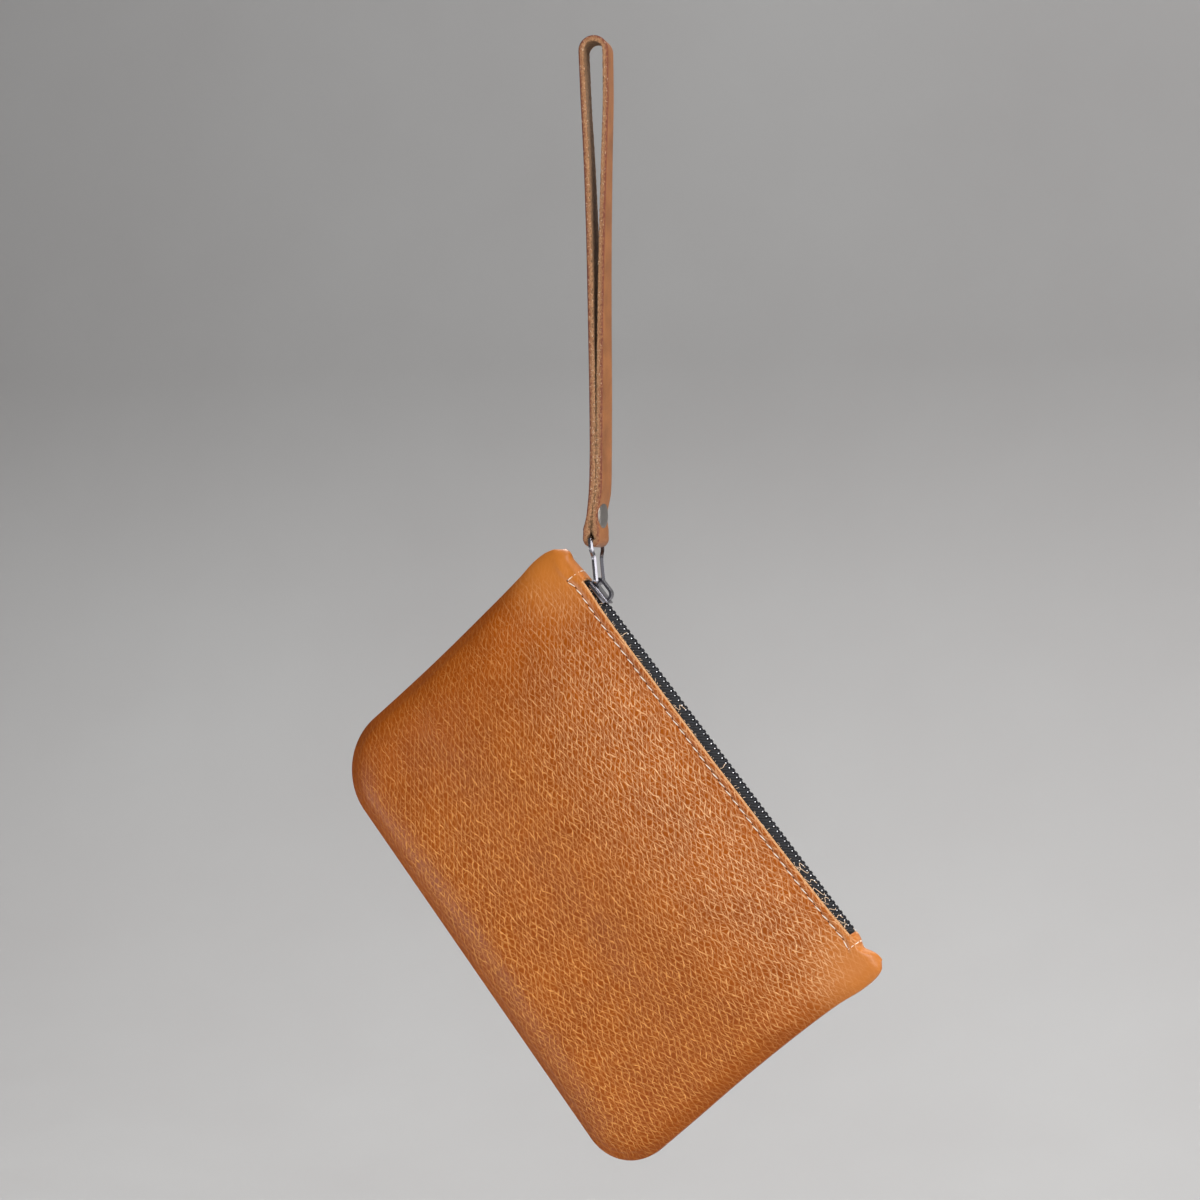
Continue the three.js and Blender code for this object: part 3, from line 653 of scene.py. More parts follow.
def panel_point(face, across, down):
    """Point of a panel. across runs from -1 to 1.

    down is -1 at the fold, 0 at the slot's edge and 1 at the bottom.
    """
    side = -1 if across < 0 else 1
    share = abs(across)
    turn = (1 + min(down, 0)) * math.pi / 2
    outward = math.sin(turn)
    if down < 0:
        nominal = -mix(lip_up(side * EAR_U), crest_up(side * EAR_U), math.cos(turn))
    else:
        nominal = mix(-lip_up(side * EAR_U), bottom_drop(side * CORNER_U), down)
    reach = side_reach(side, nominal)
    if share <= SLOT_SHARE:
        held = share / SLOT_SHARE * SLOT_END[side]
    else:
        rest = (share - SLOT_SHARE) / (1 - SLOT_SHARE)
        held = SLOT_END[side] + (reach - SLOT_END[side]) * (1 - (1 - rest) ** GATHER)
    free = reach * (1 - (1 - share) ** GATHER)
    u = side * mix(held, free, smooth_step(*LET_GO, nominal))
    if down < 0:
        up = mix(lip_up(u), crest_up(u), math.cos(turn))
    else:
        up = mix(lip_up(u), -bottom_drop(u), down)
    distance = max(seam_distance(u, -up), 0)
    if distance >= SEAM_LIP_END:
        return Vector((u, face * half_thickness(face, u, -up) * outward, up))
    into_panel = Vector((-side, 0, 0))
    if bottom_drop(u) + up < CORNER[side]:
        into_panel = Vector((
            seam_distance(u + PROBE, -up) - seam_distance(u - PROBE, -up), 0,
            seam_distance(u, -up - PROBE) - seam_distance(u, -up + PROBE),
        )).normalized()
    into = (read_table(SEAM_LIP, "at", "in", distance) - distance) * outward
    half = read_table(SEAM_LIP, "at", "half", distance) * outward
    return Vector((u, 0, up)) + into_panel * into + Vector((0, face * half, 0))


print("lowest point of the front:", tuple(round(c, 1) for c in panel_point(-1, 0, 1)))

# %% Cut the slot and map the leather
GRAIN_FAN = -0.0018  # turns the streaks steeper towards the slider
BACK_ASIDE = 400  # moves the two panels apart on the map, so that their grain differs


def panel_grid(bm, face):
    """Adds one panel with its half of the slot, and lays the leather's map on it."""
    rows = FOLD_ROWS + PANEL_ROWS
    before = set(bm.verts)
    bmesh.ops.create_grid(bm, x_segments=COLUMNS, y_segments=rows, size=1.0)
    made = [v for v in bm.verts if v not in before]
    fold_share = 1 - 2 * FOLD_ROWS / rows
    cut = []
    for panel in {f for v in made for f in v.link_faces}:
        middle = panel.calc_center_median()
        if abs(middle.x) < SLOT_SHARE and middle.y > fold_share:
            cut.append(panel)
    bmesh.ops.delete(bm, geom=cut, context="FACES")
    made = [v for v in made if v.is_valid]
    map_layer = bm.loops.layers.uv.get("leather_mm") or bm.loops.layers.uv.new("leather_mm")
    for v in made:
        row = (1 - v.co.y) / 2 * rows
        if row <= FOLD_ROWS:
            down = row / FOLD_ROWS - 1
        else:
            down = read_table(PANEL_ROW_SHARES, "row", "share", row - FOLD_ROWS)
        v.co = panel_point(face, v.co.x, down)
    for panel in {f for v in made for f in v.link_faces}:
        for loop in panel.loops:
            place = loop.vert.co
            loop[map_layer].uv = (place.x + BACK_ASIDE * face, place.z + GRAIN_FAN * place.x ** 2)


bm = bmesh.new()
for face in (-1, 1):
    panel_grid(bm, face)
bmesh.ops.remove_doubles(bm, verts=bm.verts, dist=0.002)
bmesh.ops.recalc_face_normals(bm, faces=bm.faces)
print("pouch grid:", len(bm.faces), "faces")

# %% Round the tips of the folded corners
EAR_TIPS = ((-90.4, 3.4), (88.1, 5.0))
# Reach in mm and number of passes of each round of smoothing
TIP_ROUNDS = ((3.4, 3), (2.4, 4), (1.4, 6), (0.7, 6))

for tip_u, tip_up in EAR_TIPS:
    for reach, passes in TIP_ROUNDS:
        tip = [v for v in bm.verts if math.hypot(v.co.x - tip_u, v.co.z - tip_up) < reach]
        for i in range(passes):
            bmesh.ops.smooth_vert(bm, verts=tip, factor=0.5, use_axis_x=True, use_axis_y=True,
                                  use_axis_z=True)
    print("ear tip rounded, mm from the middle:", tip_u)

# %% Shares of grain, wear with painted highlight, and wall
CUT_LINE = 0.7  # fibres show this far below the slot's edge

# Each smooth step fades between two distances in millimetres
wall_shares = []
grain_layer = bm.verts.layers.float.new("grain_share")
rubbed_and_lit_layer = bm.verts.layers.float.new("rubbed_and_lit")
for v in bm.verts:
    seam = seam_distance(v.co.x, -v.co.z)
    ear = math.hypot(abs(v.co.x) - EAR_U, v.co.z)
    from_lip = smooth_step(2.5, 12, lip_up(v.co.x) - v.co.z)
    smooth_left = mix(0.42, 1.0, smooth_step(-88, -30, v.co.x))
    share = 0.3 + 0.7 * smooth_step(0, 9, seam) * mix(0.55, 1.0, from_lip)
    v[grain_layer] = share * mix(0.2, 1.0, smooth_step(5, 20, ear)) * smooth_left
    # Share of polish and of paler tone, partly painted highlight, on the folded corners
    v[rubbed_and_lit_layer] = 1 - smooth_step(6, 30, ear)
    wall_shares.append(max(smooth_step(0, 2.2, abs(v.co.y)), smooth_step(2, 7, seam)))
cut_faces = 0
for panel in bm.faces:
    middle = panel.calc_center_median()
    if abs(middle.x) < SLOT_END[side_of(middle.x)] and middle.z > lip_up(middle.x) - CUT_LINE:
        panel.material_index = 2
        cut_faces += 1
print("faces along the cut edge:", cut_faces)

# %% Wall of the pouch
pouch = make_piece("pouch_hide", bm, [pebbled, pouch_flesh, slot_edge], "pouch",
                   ["pouch_leather"], sharp=75, place=pouch_place)
wall = pouch.modifiers.new("wall", "SOLIDIFY")
wall.thickness = LEATHER_WALL * MM
wall.offset = -1
wall.material_offset = 1
wall.material_offset_rim = 2
# The wall thins out in the seams, where the two panels meet
shares = pouch.vertex_groups.new(name="wall_share")
for i, share in enumerate(wall_shares):
    shares.add([i], share, "REPLACE")
wall.vertex_group = shares.name
wall.thickness_vertex_group = 0.05

# %% [markdown]
# ## Stitches
# A cream thread holds the leather to the zip tape, in a long narrow box round the slot. Each stitch is a
# short capsule, and the row is a loop over their places along the leather. The two ends of the box climb
# over the folded top, so those stitches are placed by a turn about the fold. Between two stitches the
# needle has left a hole. Its shade is painted on a flat dark bead here, because a true hole would need a
# far finer panel.

# %% Thread finish
STRAND = 0.5 * MM

# Waxed thread: cream strands with darker gaps between them and a dull sheen
thread, tree, shader = new_finish("waxed_polyester_thread")
place = add_node(tree, "ShaderNodeTexCoord")
strands = add_node(tree, "ShaderNodeTexNoise", values={"Scale": 1 / STRAND, "Detail": 2.0},
                   links={"Vector": place.outputs["Object"]})
tone = add_node(tree, "ShaderNodeValToRGB", links={"Fac": strands.outputs["Fac"]})
tone.color_ramp.elements[0].color = colour("#cdbba6")
tone.color_ramp.elements[1].color = colour("#f3e9dc")
tree.links.new(tone.outputs["Color"], shader.inputs["Base Color"])
shader.inputs["Roughness"].default_value = 0.6
print("thread nodes:", len(tree.nodes))

# %% Places of the stitches
STITCH_PITCH = 3.74
STITCH_LENGTH = 2.95
STITCH_SLANT = 0.2
THREAD_HALF = 0.2
THREAD_FLAT = 0.85  # pressed flat by this much
THREAD_LIFT = 0.14  # how far the thread's middle stands off the leather


def leather_surface(face, u, below):
    """Point of the leather's outer face, by its distance below the slot's edge."""
    drop = below - lip_up(u)
    return Vector((u, face * half_thickness(face, u, drop), -drop))


def over_the_fold(u):
    """Path over the folded top, from the front row of stitches to the back row."""
    front = [leather_surface(-1, u, stitch_below(u) * (1 - i / 12)) for i in range(12)]
    crest = []
    for i in range(25):
        turn = mix(-math.pi / 2, math.pi / 2, i / 24)
        half = half_thickness(1 if turn > 0 else -1, u, -lip_up(u))
        crest.append(Vector((u, half * math.sin(turn), mix(lip_up(u), crest_up(u), math.cos(turn)))))
    back = [leather_surface(1, u, stitch_below(u) * i / 12) for i in range(1, 13)]
    return front + crest + back


def add_stitch(bm, start, end, outward):
    """One capsule from start to end, a little off the leather."""
    along = (end - start).normalized()
    across = outward.cross(along).normalized()
    up = along.cross(across)
    facing = Matrix((along, across, up)).transposed().to_4x4()
    size = Matrix.Diagonal(((end - start).length / 2, THREAD_HALF, THREAD_HALF * THREAD_FLAT, 1))
    middle = Matrix.Translation((start + end) / 2 + outward * THREAD_LIFT)
    bmesh.ops.create_uvsphere(bm, u_segments=8, v_segments=8, radius=1.0, matrix=middle @ facing @ size)


row_length = STITCH_END[-1] + STITCH_END[1]
count = round(row_length / STITCH_PITCH)
pitch = row_length / count
print("stitches in a row:", count, "every", round(pitch, 2), "mm")

# %% Rows along the slot
bm = bmesh.new()
holes = []
for face in (-1, 1):
    for i in range(count):
        start = -STITCH_END[-1] + i * pitch + (pitch - STITCH_LENGTH) / 2
        ends = []
        for part, aside in ((0, STITCH_SLANT), (STITCH_LENGTH, -STITCH_SLANT)):
            u = start + part
            ends.append(leather_surface(face, u, stitch_below(u) + aside))
        add_stitch(bm, ends[0], ends[1], Vector((0, face, 0)))
        between = start - (pitch - STITCH_LENGTH) / 2
        holes.append((leather_surface(face, between, stitch_below(start)), face))
print("needle holes:", len(holes))

# %% Ends over the fold
END_PITCH = 3.0
END_SHARES = (0.06, 0.94)  # part of each step that the thread covers
FOLD_AXIS_UP = -1.5  # stitches stand out from this height

for side in (-1, 1):
    path = over_the_fold(side * STITCH_END[side])
    walked = [0.0]
    for first, second in zip(path, path[1:]):
        walked.append(walked[-1] + (second - first).length)
    end_count = round(walked[-1] / END_PITCH)
    for i in range(end_count):
        marks = [walked[-1] * (i + part) / end_count for part in END_SHARES]
        ends = []
        for mark in marks:
            n = next(k for k in range(len(walked) - 1) if walked[k + 1] >= mark)
            ends.append(path[n].lerp(path[n + 1], (mark - walked[n]) / (walked[n + 1] - walked[n])))
        middle = (ends[0] + ends[1]) / 2
        outward = Vector((0, middle.y, middle.z - FOLD_AXIS_UP)).normalized()
        add_stitch(bm, ends[0], ends[1], outward)
make_piece("slot_stitches", bm, [thread], "pouch", place=pouch_place)

# %% Needle holes
HOLE_RADIUS = 0.25
HOLE_SHAPE = (1.3, 1.0, 0.35, 1)  # long, high and deep
HOLE_LIFT = 0.05

# Painted shade of a needle hole: the hole swallows the light and shows as a dark dot
hole_shade, tree, shader = new_finish("painted_hole_shade")
shader.inputs["Base Color"].default_value = colour("#3d1f0d")
shader.inputs["Roughness"].default_value = 0.9

bm = bmesh.new()
for middle, face in holes:
    there = Matrix.Translation(middle + Vector((0, face * HOLE_LIFT, 0)))
    lie = there @ Matrix.Rotation(math.pi / 2, 4, "X")
    bmesh.ops.create_uvsphere(bm, u_segments=8, v_segments=4, radius=HOLE_RADIUS,
                              matrix=lie @ Matrix.Diagonal(HOLE_SHAPE))
make_piece("needle_holes", bm, [hole_shade], "pouch", place=pouch_place)

# %% [markdown]
# ## Zip tape
# Two strips of black woven polyester are sewn under the slot's edges and lean together into a low ridge
# that carries the teeth. A grid bent through one short section gives each strip, and slanting ribs with
# a little lint give the cloth. The ribs are about 1 mm apart, coarser than the real weave so that they show.

# %% Zip tape finish
RIB_SLANT = math.radians(35)
RIB_SCALE = 0.32  # on a map in millimetres, which puts the ribs about 1 mm apart
LINT_PER_MM = 1.2

# Woven tape: nearly black cloth with faint ribs and grey lint
woven, tree, shader = new_finish("woven_polyester_tape")
tape_map = add_node(tree, "ShaderNodeUVMap", {"uv_map": "tape_mm"})
rib_map = add_node(tree, "ShaderNodeMapping", values={"Rotation": (0, 0, RIB_SLANT)},
                   links={"Vector": tape_map.outputs["UV"]})
ribs = add_node(tree, "ShaderNodeTexWave", {"wave_type": "BANDS", "bands_direction": "X"},
                {"Scale": RIB_SCALE, "Distortion": 1.2, "Detail": 1.0},
                {"Vector": rib_map.outputs["Vector"]})
lint = add_node(tree, "ShaderNodeTexNoise", {"noise_dimensions": "2D"},
                {"Scale": LINT_PER_MM, "Detail": 3.0}, {"Vector": tape_map.outputs["UV"]})
weave = add_node(tree, "ShaderNodeMath", {"operation": "MULTIPLY"},
                 links={0: ribs.outputs["Fac"], 1: lint.outputs["Fac"]})
tone = add_node(tree, "ShaderNodeValToRGB", links={"Fac": weave.outputs["Value"]})
tone.color_ramp.elements[0].color = colour("#0b0b0f")
tone.color_ramp.elements[1].position = 0.6
tone.color_ramp.elements[1].color = colour("#2a2c31")
cloth = add_node(tree, "ShaderNodeBump", values={"Strength": 0.6, "Distance": 0.0003},
                 links={"Height": weave.outputs["Value"]})
tree.links.new(tone.outputs["Color"], shader.inputs["Base Color"])
tree.links.new(cloth.outputs["Normal"], shader.inputs["Normal"])
shader.inputs["Roughness"].default_value = 0.85
print("tape nodes:", len(tree.nodes))

# %% Zip tapes
TAPE_THICK = 0.7
# Way up the tape from its sewn edge, distance from the middle, height
TAPE_SECTION = [
    {"along": 0.0, "y": 2.5, "up": -8.0},
    {"along": 7.8, "y": 2.5, "up": -0.2},
    {"along": 9.0, "y": 2.2, "up": 0.95},
    {"along": 10.2, "y": 1.65, "up": 1.95},
    {"along": 11.0, "y": 1.25, "up": 2.5},
    {"along": 11.6, "y": 0.85, "up": 2.8},
]
TAPE_START, TAPE_END = -76.4, 74.65
TAPE_COLUMNS, TAPE_ROWS = 120, 22


def along_tape(share):
    return mix(TAPE_START, TAPE_END, (share + 1) / 2)


for face, name in ((-1, "front"), (1, "back")):
    bm = bmesh.new()
    bmesh.ops.create_grid(bm, x_segments=TAPE_COLUMNS, y_segments=TAPE_ROWS, size=1.0)
    tape_layer = bm.loops.layers.uv.new("tape_mm")
    reach = TAPE_SECTION[-1]["along"]
    for panel in bm.faces:
        for loop in panel.loops:
            loop[tape_layer].uv = (along_tape(loop.vert.co.x), (loop.vert.co.y + 1) / 2 * reach)
    for v in bm.verts:
        along = (v.co.y + 1) / 2 * reach
        u = along_tape(v.co.x)
        sway = noise.noise(Vector((u / 9, along / 4, face))) * 0.12
        v.co = Vector((
            u,
            face * (read_table(TAPE_SECTION, "along", "y", along) + sway * smooth_step(8, 10, along)),
            read_table(TAPE_SECTION, "along", "up", along),
        ))
    if face > 0:
        bmesh.ops.reverse_faces(bm, faces=bm.faces)
    tape = make_piece(f"tape_{name}", bm, [woven], "pouch", [f"zip_tape_{name}"],
                      place=pouch_place)
    cloth_wall = tape.modifiers.new("cloth", "SOLIDIFY")
    cloth_wall.thickness = TAPE_THICK * MM
    cloth_wall.offset = -1

# %% [markdown]
# ## Zip teeth
# Each tooth is a stamped bit of brass, clamped on the edge of its tape. Only the end that faces outwards
# catches the light, and it shows as a row of small dots, while the rest lies in shade. So one bevelled block
# with a finish painted dark for that shade is repeated along each tape, the back row half a step on, and a
# smaller one, painted bright as a highlight, at its end.
# A woven cord, a circle swept along the zip, closes the gap between the two tapes under the teeth.

# %% Tooth finishes
# Lit ends of the teeth: a painted highlight, small bright grey dots
lit_tooth_metal, tree, shader = new_finish("tooth_metal_painted_lit")
shader.inputs["Base Color"].default_value = colour("#c9c9cd")
shader.inputs["Metallic"].default_value = 1.0
shader.inputs["Roughness"].default_value = 0.35

# Teeth in shade: the same metal painted dark, with a dull gleam
shaded_tooth_metal, tree, shader = new_finish("tooth_metal_painted_shade")
shader.inputs["Base Color"].default_value = colour("#1b1b20")
shader.inputs["Metallic"].default_value = 1.0
shader.inputs["Roughness"].default_value = 0.5
print("tooth finishes:", lit_tooth_metal.name, shaded_tooth_metal.name)

# %% Zip teeth
TOOTH_PITCH = 2.08
TEETH_START, TEETH_END = -65.4, 74.2
TOOTH = {"low": (-0.55, -0.1, 2.55), "high": (0.55, 1.35, 3.25), "bevel": 0.14}
TOOTH_TIP = {"low": (-0.26, 1.2, 2.52), "high": (0.26, 1.66, 2.98), "bevel": 0.16}


def bevelled_block(bm, low, high, offset, segments):
    """A block between two corners with rounded edges."""
    middle = Matrix.Translation((Vector(low) + Vector(high)) / 2)
    size = Matrix.Diagonal((*(Vector(high) - Vector(low)), 1))
    made = bmesh.ops.create_cube(bm, size=1.0, matrix=middle @ size)
    edges = {e for v in made["verts"] for e in v.link_edges}
    bmesh.ops.bevel(bm, geom=list(edges), offset=offset, affect="EDGES", segments=segments, profile=0.5,
                    material=-1)


def teeth_row(name, block, finish, nodes):
    """Repeats one block along both tapes, the back row half a step on."""
    bm = bmesh.new()
    count = int((TEETH_END - TEETH_START) / TOOTH_PITCH)
    for face in (-1, 1):
        for i in range(count):
            u = TEETH_START + (i + 0.25 * (face + 1)) * TOOTH_PITCH
            sides = sorted((face * block["low"][1], face * block["high"][1]))
            bevelled_block(bm, (u + block["low"][0], sides[0], block["low"][2]),
                           (u + block["high"][0], sides[1], block["high"][2]), block["bevel"], 1)
    make_piece(name, bm, [finish], "pouch", nodes, place=pouch_place)


teeth_row("teeth_bodies", TOOTH, shaded_tooth_metal, ["zip_chain"])
teeth_row("teeth_tips", TOOTH_TIP, lit_tooth_metal, [])

# %% Cord under the teeth
CORD_HALF = 0.95
CORD_UP = 2.1

bm = bmesh.new()
bmesh.ops.create_circle(bm, segments=12, radius=CORD_HALF, cap_ends=False, matrix=(
    Matrix.Translation((TAPE_START, 0, CORD_UP)) @ Matrix.Rotation(math.pi / 2, 4, "Y")))
sweep_edges(bm, (TAPE_END - TAPE_START, 0, 0))
bmesh.ops.holes_fill(bm, edges=bm.edges, sides=0)
tape_layer = bm.loops.layers.uv.new("tape_mm")
for panel in bm.faces:
    for loop in panel.loops:
        loop[tape_layer].uv = (loop.vert.co.x, loop.vert.co.y * 3)
bmesh.ops.recalc_face_normals(bm, faces=bm.faces)
make_piece("zip_cord", bm, [woven], "pouch", place=pouch_place)

# %% [markdown]
# ## Slider
# The slider is die-cast zinc with a dark gunmetal plating: a tapered top plate with rolled sides, and a
# flat arched bail that the ring hooks into. Bevelled blocks make the plate, and the bail is a strip bent
# round two corners by spinning its end face.

# %% Gunmetal finish
WEAR_SIZE = 1.6 * MM

# Polished gunmetal plating: dark grey with sharp bright reflections, a little cloudy from wear
gunmetal, tree, shader = new_finish("gunmetal_plated_zinc")
place = add_node(tree, "ShaderNodeTexCoord")
wear = add_node(tree, "ShaderNodeTexNoise", values={"Scale": 1 / WEAR_SIZE, "Detail": 4.0},
                links={"Vector": place.outputs["Object"]})
tone = add_node(tree, "ShaderNodeValToRGB", links={"Fac": wear.outputs["Fac"]})
tone.color_ramp.elements[0].color = colour("#77757b")
tone.color_ramp.elements[1].color = colour("#8b898f")
gloss = add_node(tree, "ShaderNodeMapRange", values={"To Min": 0.15, "To Max": 0.2},
                 links={"Value": wear.outputs["Fac"]})
tree.links.new(tone.outputs["Color"], shader.inputs["Base Color"])
tree.links.new(gloss.outputs["Result"], shader.inputs["Roughness"])
shader.inputs["Metallic"].default_value = 1.0
print("gunmetal nodes:", len(tree.nodes))

# %% Slider plate
SLIDER_START, SLIDER_LENGTH = -75.3, 9.8
SLIDER_WIDE, SLIDER_NARROW = 6.6, 5.2
PLATE_BOTTOM, PLATE_THICK = 3.4, 0.8
PLATE_ROUND = 0.3
FLANGE_SIDES = (1.0, 0.1)  # in from the plate's sides
FLANGE_SHORT = 0.8  # in from the plate's ends
FLANGE_DOWN, FLANGE_UP = 1.2, 0.2  # from the plate's bottom

bm = bmesh.new()
half = SLIDER_WIDE / 2
plate_top = PLATE_BOTTOM + PLATE_THICK
slider_end = SLIDER_START + SLIDER_LENGTH
bevelled_block(bm, (SLIDER_START, -half, PLATE_BOTTOM), (slider_end, half, plate_top), PLATE_ROUND, 3)
for face in (-1, 1):
    sides = sorted(face * (half - aside) for aside in FLANGE_SIDES)
    bevelled_block(bm, (SLIDER_START + FLANGE_SHORT, sides[0], PLATE_BOTTOM - FLANGE_DOWN),
                   (slider_end - FLANGE_SHORT, sides[1], PLATE_BOTTOM + FLANGE_UP), PLATE_ROUND, 3)
for v in bm.verts:
    narrow = mix(1.0, SLIDER_NARROW / SLIDER_WIDE, (v.co.x - SLIDER_START) / SLIDER_LENGTH)
    v.co.y *= narrow
print("slider plate:", len(bm.faces), "faces")

# %% Bail
BAIL_START, BAIL_LENGTH = -75.1, 8.8
BAIL_WIDE, BAIL_THICK, BAIL_WINDOW = 2.6, 0.9, 2.0
BAIL_SUNK = 0.2
BEND_NEAR, BEND_FAR = 1.3, 2.2


def push_face(bm, face_now, vec):
    """Draws a face out along a vector."""
    made = bmesh.ops.extrude_discrete_faces(bm, faces=[face_now])["faces"][0]
    bmesh.ops.translate(bm, vec=vec, verts=made.verts)
    return made


def turn_face(bm, face_now, centre, steps):
    """Spins a face a quarter turn about a line across the slider."""
    made = bmesh.ops.spin(bm, geom=[face_now], cent=centre, axis=(0, 1, 0), angle=math.pi / 2, steps=steps)
    return next(f for f in made["geom_last"] if isinstance(f, bmesh.types.BMFace))


def soften_edges(piece, width, segments):
    """Rounds the sharp edges of a piece. The width is in millimetres."""
    soften = piece.modifiers.new("soften", "BEVEL")
    soften.width = width * MM
    soften.segments = segments
    soften.limit_method = "ANGLE"
    return soften


bail_low = plate_top - BAIL_SUNK
crown = plate_top + BAIL_WINDOW + BAIL_THICK / 2
near_u = BAIL_START + BAIL_THICK / 2 + BEND_NEAR
far_u = BAIL_START + BAIL_LENGTH - BAIL_THICK / 2 - BEND_FAR
foot = [bm.verts.new((BAIL_START + dx, dy, bail_low))
        for dx, dy in ((0, -BAIL_WIDE / 2), (BAIL_THICK, -BAIL_WIDE / 2),
                       (BAIL_THICK, BAIL_WIDE / 2), (0, BAIL_WIDE / 2))]
end_face = bm.faces.new(foot)
end_face = push_face(bm, end_face, (0, 0, crown - BEND_NEAR - bail_low))
end_face = turn_face(bm, end_face, (near_u, 0, crown - BEND_NEAR), 8)
end_face = push_face(bm, end_face, (BAIL_LENGTH - BAIL_THICK - BEND_NEAR - BEND_FAR, 0, 0))
end_face = turn_face(bm, end_face, (far_u, 0, crown - BEND_FAR), 12)
push_face(bm, end_face, (0, 0, bail_low - (crown - BEND_FAR)))
bmesh.ops.remove_doubles(bm, verts=bm.verts, dist=0.001)
bmesh.ops.recalc_face_normals(bm, faces=bm.faces)
slider = make_piece("slider_body", bm, [gunmetal], "pouch", ["zip_slider"], place=pouch_place)
soften_edges(slider, 0.35, 4)

# %% [markdown]
# ## Pull ring
# A square wire is bent into a frame: a narrow stem that hooks into the bail, and a wide eye for the strap.
# A curve through the bends with a bevel of its own is the plain way to a bent wire, and it becomes a mesh.
# With four sides the bevel gives a square wire, whose flat sides catch the light in clean bright lines.

# %% Bent wire
def bent_wire(paths, radius, closed=False, sides=2):
    """A bmesh of wires through lists of points in metres. More sides make the wire rounder."""
    wire_curve = bpy.data.curves.new("wire", "CURVE")
    wire_curve.dimensions = "3D"
    wire_curve.bevel_depth = radius
    wire_curve.bevel_resolution = sides
    wire_curve.use_fill_caps = not closed
    for path in paths:
        spline = wire_curve.splines.new("POLY")
        spline.points.add(len(path) - 1)
        for point, place in zip(spline.points, path):
            point.co = (*place, 1.0)
        spline.use_cyclic_u = closed
    wire_object = bpy.data.objects.new("wire", wire_curve)
    bpy.context.scene.collection.objects.link(wire_object)
    bpy.context.view_layer.update()
    wire_mesh = bpy.data.meshes.new_from_object(wire_object)
    bm = bmesh.new()
    bm.from_mesh(wire_mesh)
    bmesh.ops.remove_doubles(bm, verts=bm.verts, dist=1e-7)
    bmesh.ops.recalc_face_normals(bm, faces=bm.faces)
    bpy.data.objects.remove(wire_object)
    bpy.data.curves.remove(wire_curve)
    bpy.data.meshes.remove(wire_mesh)
    return bm


print("the ring's bars are", round((ring_top - ring_bottom).length / MM, 1), "mm apart")

# %% Pull ring
RING_WIRE = 0.88  # half of the diagonal
RING_EYE_HALF, RING_STEM_HALF = 5.85, 3.8
RING_SHOULDER = 10.1
SHOULDER_SLOPE = 1.2  # half of the height in which the stem widens to the eye
RING_ROUND = 1.0
ring_length = (ring_top - ring_bottom).length / MM
ring_rise = (ring_top - ring_bottom).normalized()


def rounded_corners(corners, radius, steps):
    """Closed path through corners given as (y, z), with each corner turned into a short arc."""
    path = []
    for i, corner in enumerate(corners):
        here = Vector(corner)
        before = (Vector(corners[i - 1]) - here).normalized()
        after = (Vector(corners[(i + 1) % len(corners)]) - here).normalized()
        centre = here + (before + after) * radius
        first = here + before * radius - centre
        last = here + after * radius - centre
        for n in range(steps + 1):
            share = n / steps * math.pi / 2
            path.append(centre + first * math.cos(share) + last * math.sin(share))
    return path


stem_end = RING_SHOULDER - SHOULDER_SLOPE
eye_start = RING_SHOULDER + SHOULDER_SLOPE
ring_corners = [
    (-RING_STEM_HALF, 0), (RING_STEM_HALF, 0), (RING_STEM_HALF, stem_end), (RING_EYE_HALF, eye_start),
    (RING_EYE_HALF, ring_length), (-RING_EYE_HALF, ring_length), (-RING_EYE_HALF, eye_start),
    (-RING_STEM_HALF, stem_end),
]
ring_path = []
for y, z in rounded_corners(ring_corners, RING_ROUND, 6):
    ring_path.append(ring_bottom + Vector((0, y, 0)) * MM + ring_rise * z * MM)
bm = bent_wire([ring_path], RING_WIRE * MM, closed=True, sides=0)
ring = make_piece("ring_frame", bm, [gunmetal], "ring", ["pull_ring"])
soften_edges(ring, 0.14, 2).angle_limit = math.radians(50)

# %% [markdown]
# ## Wrist strap
# One band of stiffer hide, 10 mm wide and 2 mm thick, goes round the ring's top bar and up to a round bend.
# Its grain face is smooth and points outwards, its flesh side is dark and faces inwards, and its cut edges
# show the fibres. A Solidify modifier could thicken a bent strip, but its edges would come out too clean.
# So one grid is wrapped round the cut section and carried round the loop by a table of the two strands,
# and a little noise makes the edges ragged.

# %% Strap finishes
PORES_PER_MM = 1.6  # pores about 0.6 mm apart
CLOUDS_PER_MM = 0.12  # clouds about 8 mm across

# Bridle hide: smooth, slightly cloudy tan with fine pores and a low sheen
strap_grain, tree, shader = new_finish("smooth_bridle_hide")
strap_map = add_node(tree, "ShaderNodeUVMap", {"uv_map": "strap_mm"})
pores = add_node(tree, "ShaderNodeTexNoise", {"noise_dimensions": "2D"},
                 {"Scale": PORES_PER_MM, "Detail": 5.0, "Roughness": 0.65},
                 {"Vector": strap_map.outputs["UV"]})
cloud = add_node(tree, "ShaderNodeTexNoise", {"noise_dimensions": "2D"},
                 {"Scale": CLOUDS_PER_MM, "Detail": 3.0}, {"Vector": strap_map.outputs["UV"]})
blend = add_node(tree, "ShaderNodeMath", {"operation": "MULTIPLY_ADD"}, {1: 0.35},
                 {0: pores.outputs["Fac"], 2: cloud.outputs["Fac"]})
tone = add_node(tree, "ShaderNodeValToRGB", links={"Fac": blend.outputs["Value"]})
tone.color_ramp.elements[0].position = 0.4
tone.color_ramp.elements[0].color = colour("#784519")
tone.color_ramp.elements[1].position = 0.95
tone.color_ramp.elements[1].color = colour("#975d2c")
grain = add_node(tree, "ShaderNodeBump", values={"Strength": 0.35, "Distance": 0.00012},
                 links={"Height": pores.outputs["Fac"]})
tree.links.new(tone.outputs["Color"], shader.inputs["Base Color"])
tree.links.new(grain.outputs["Normal"], shader.inputs["Normal"])
shader.inputs["Roughness"].default_value = 0.48

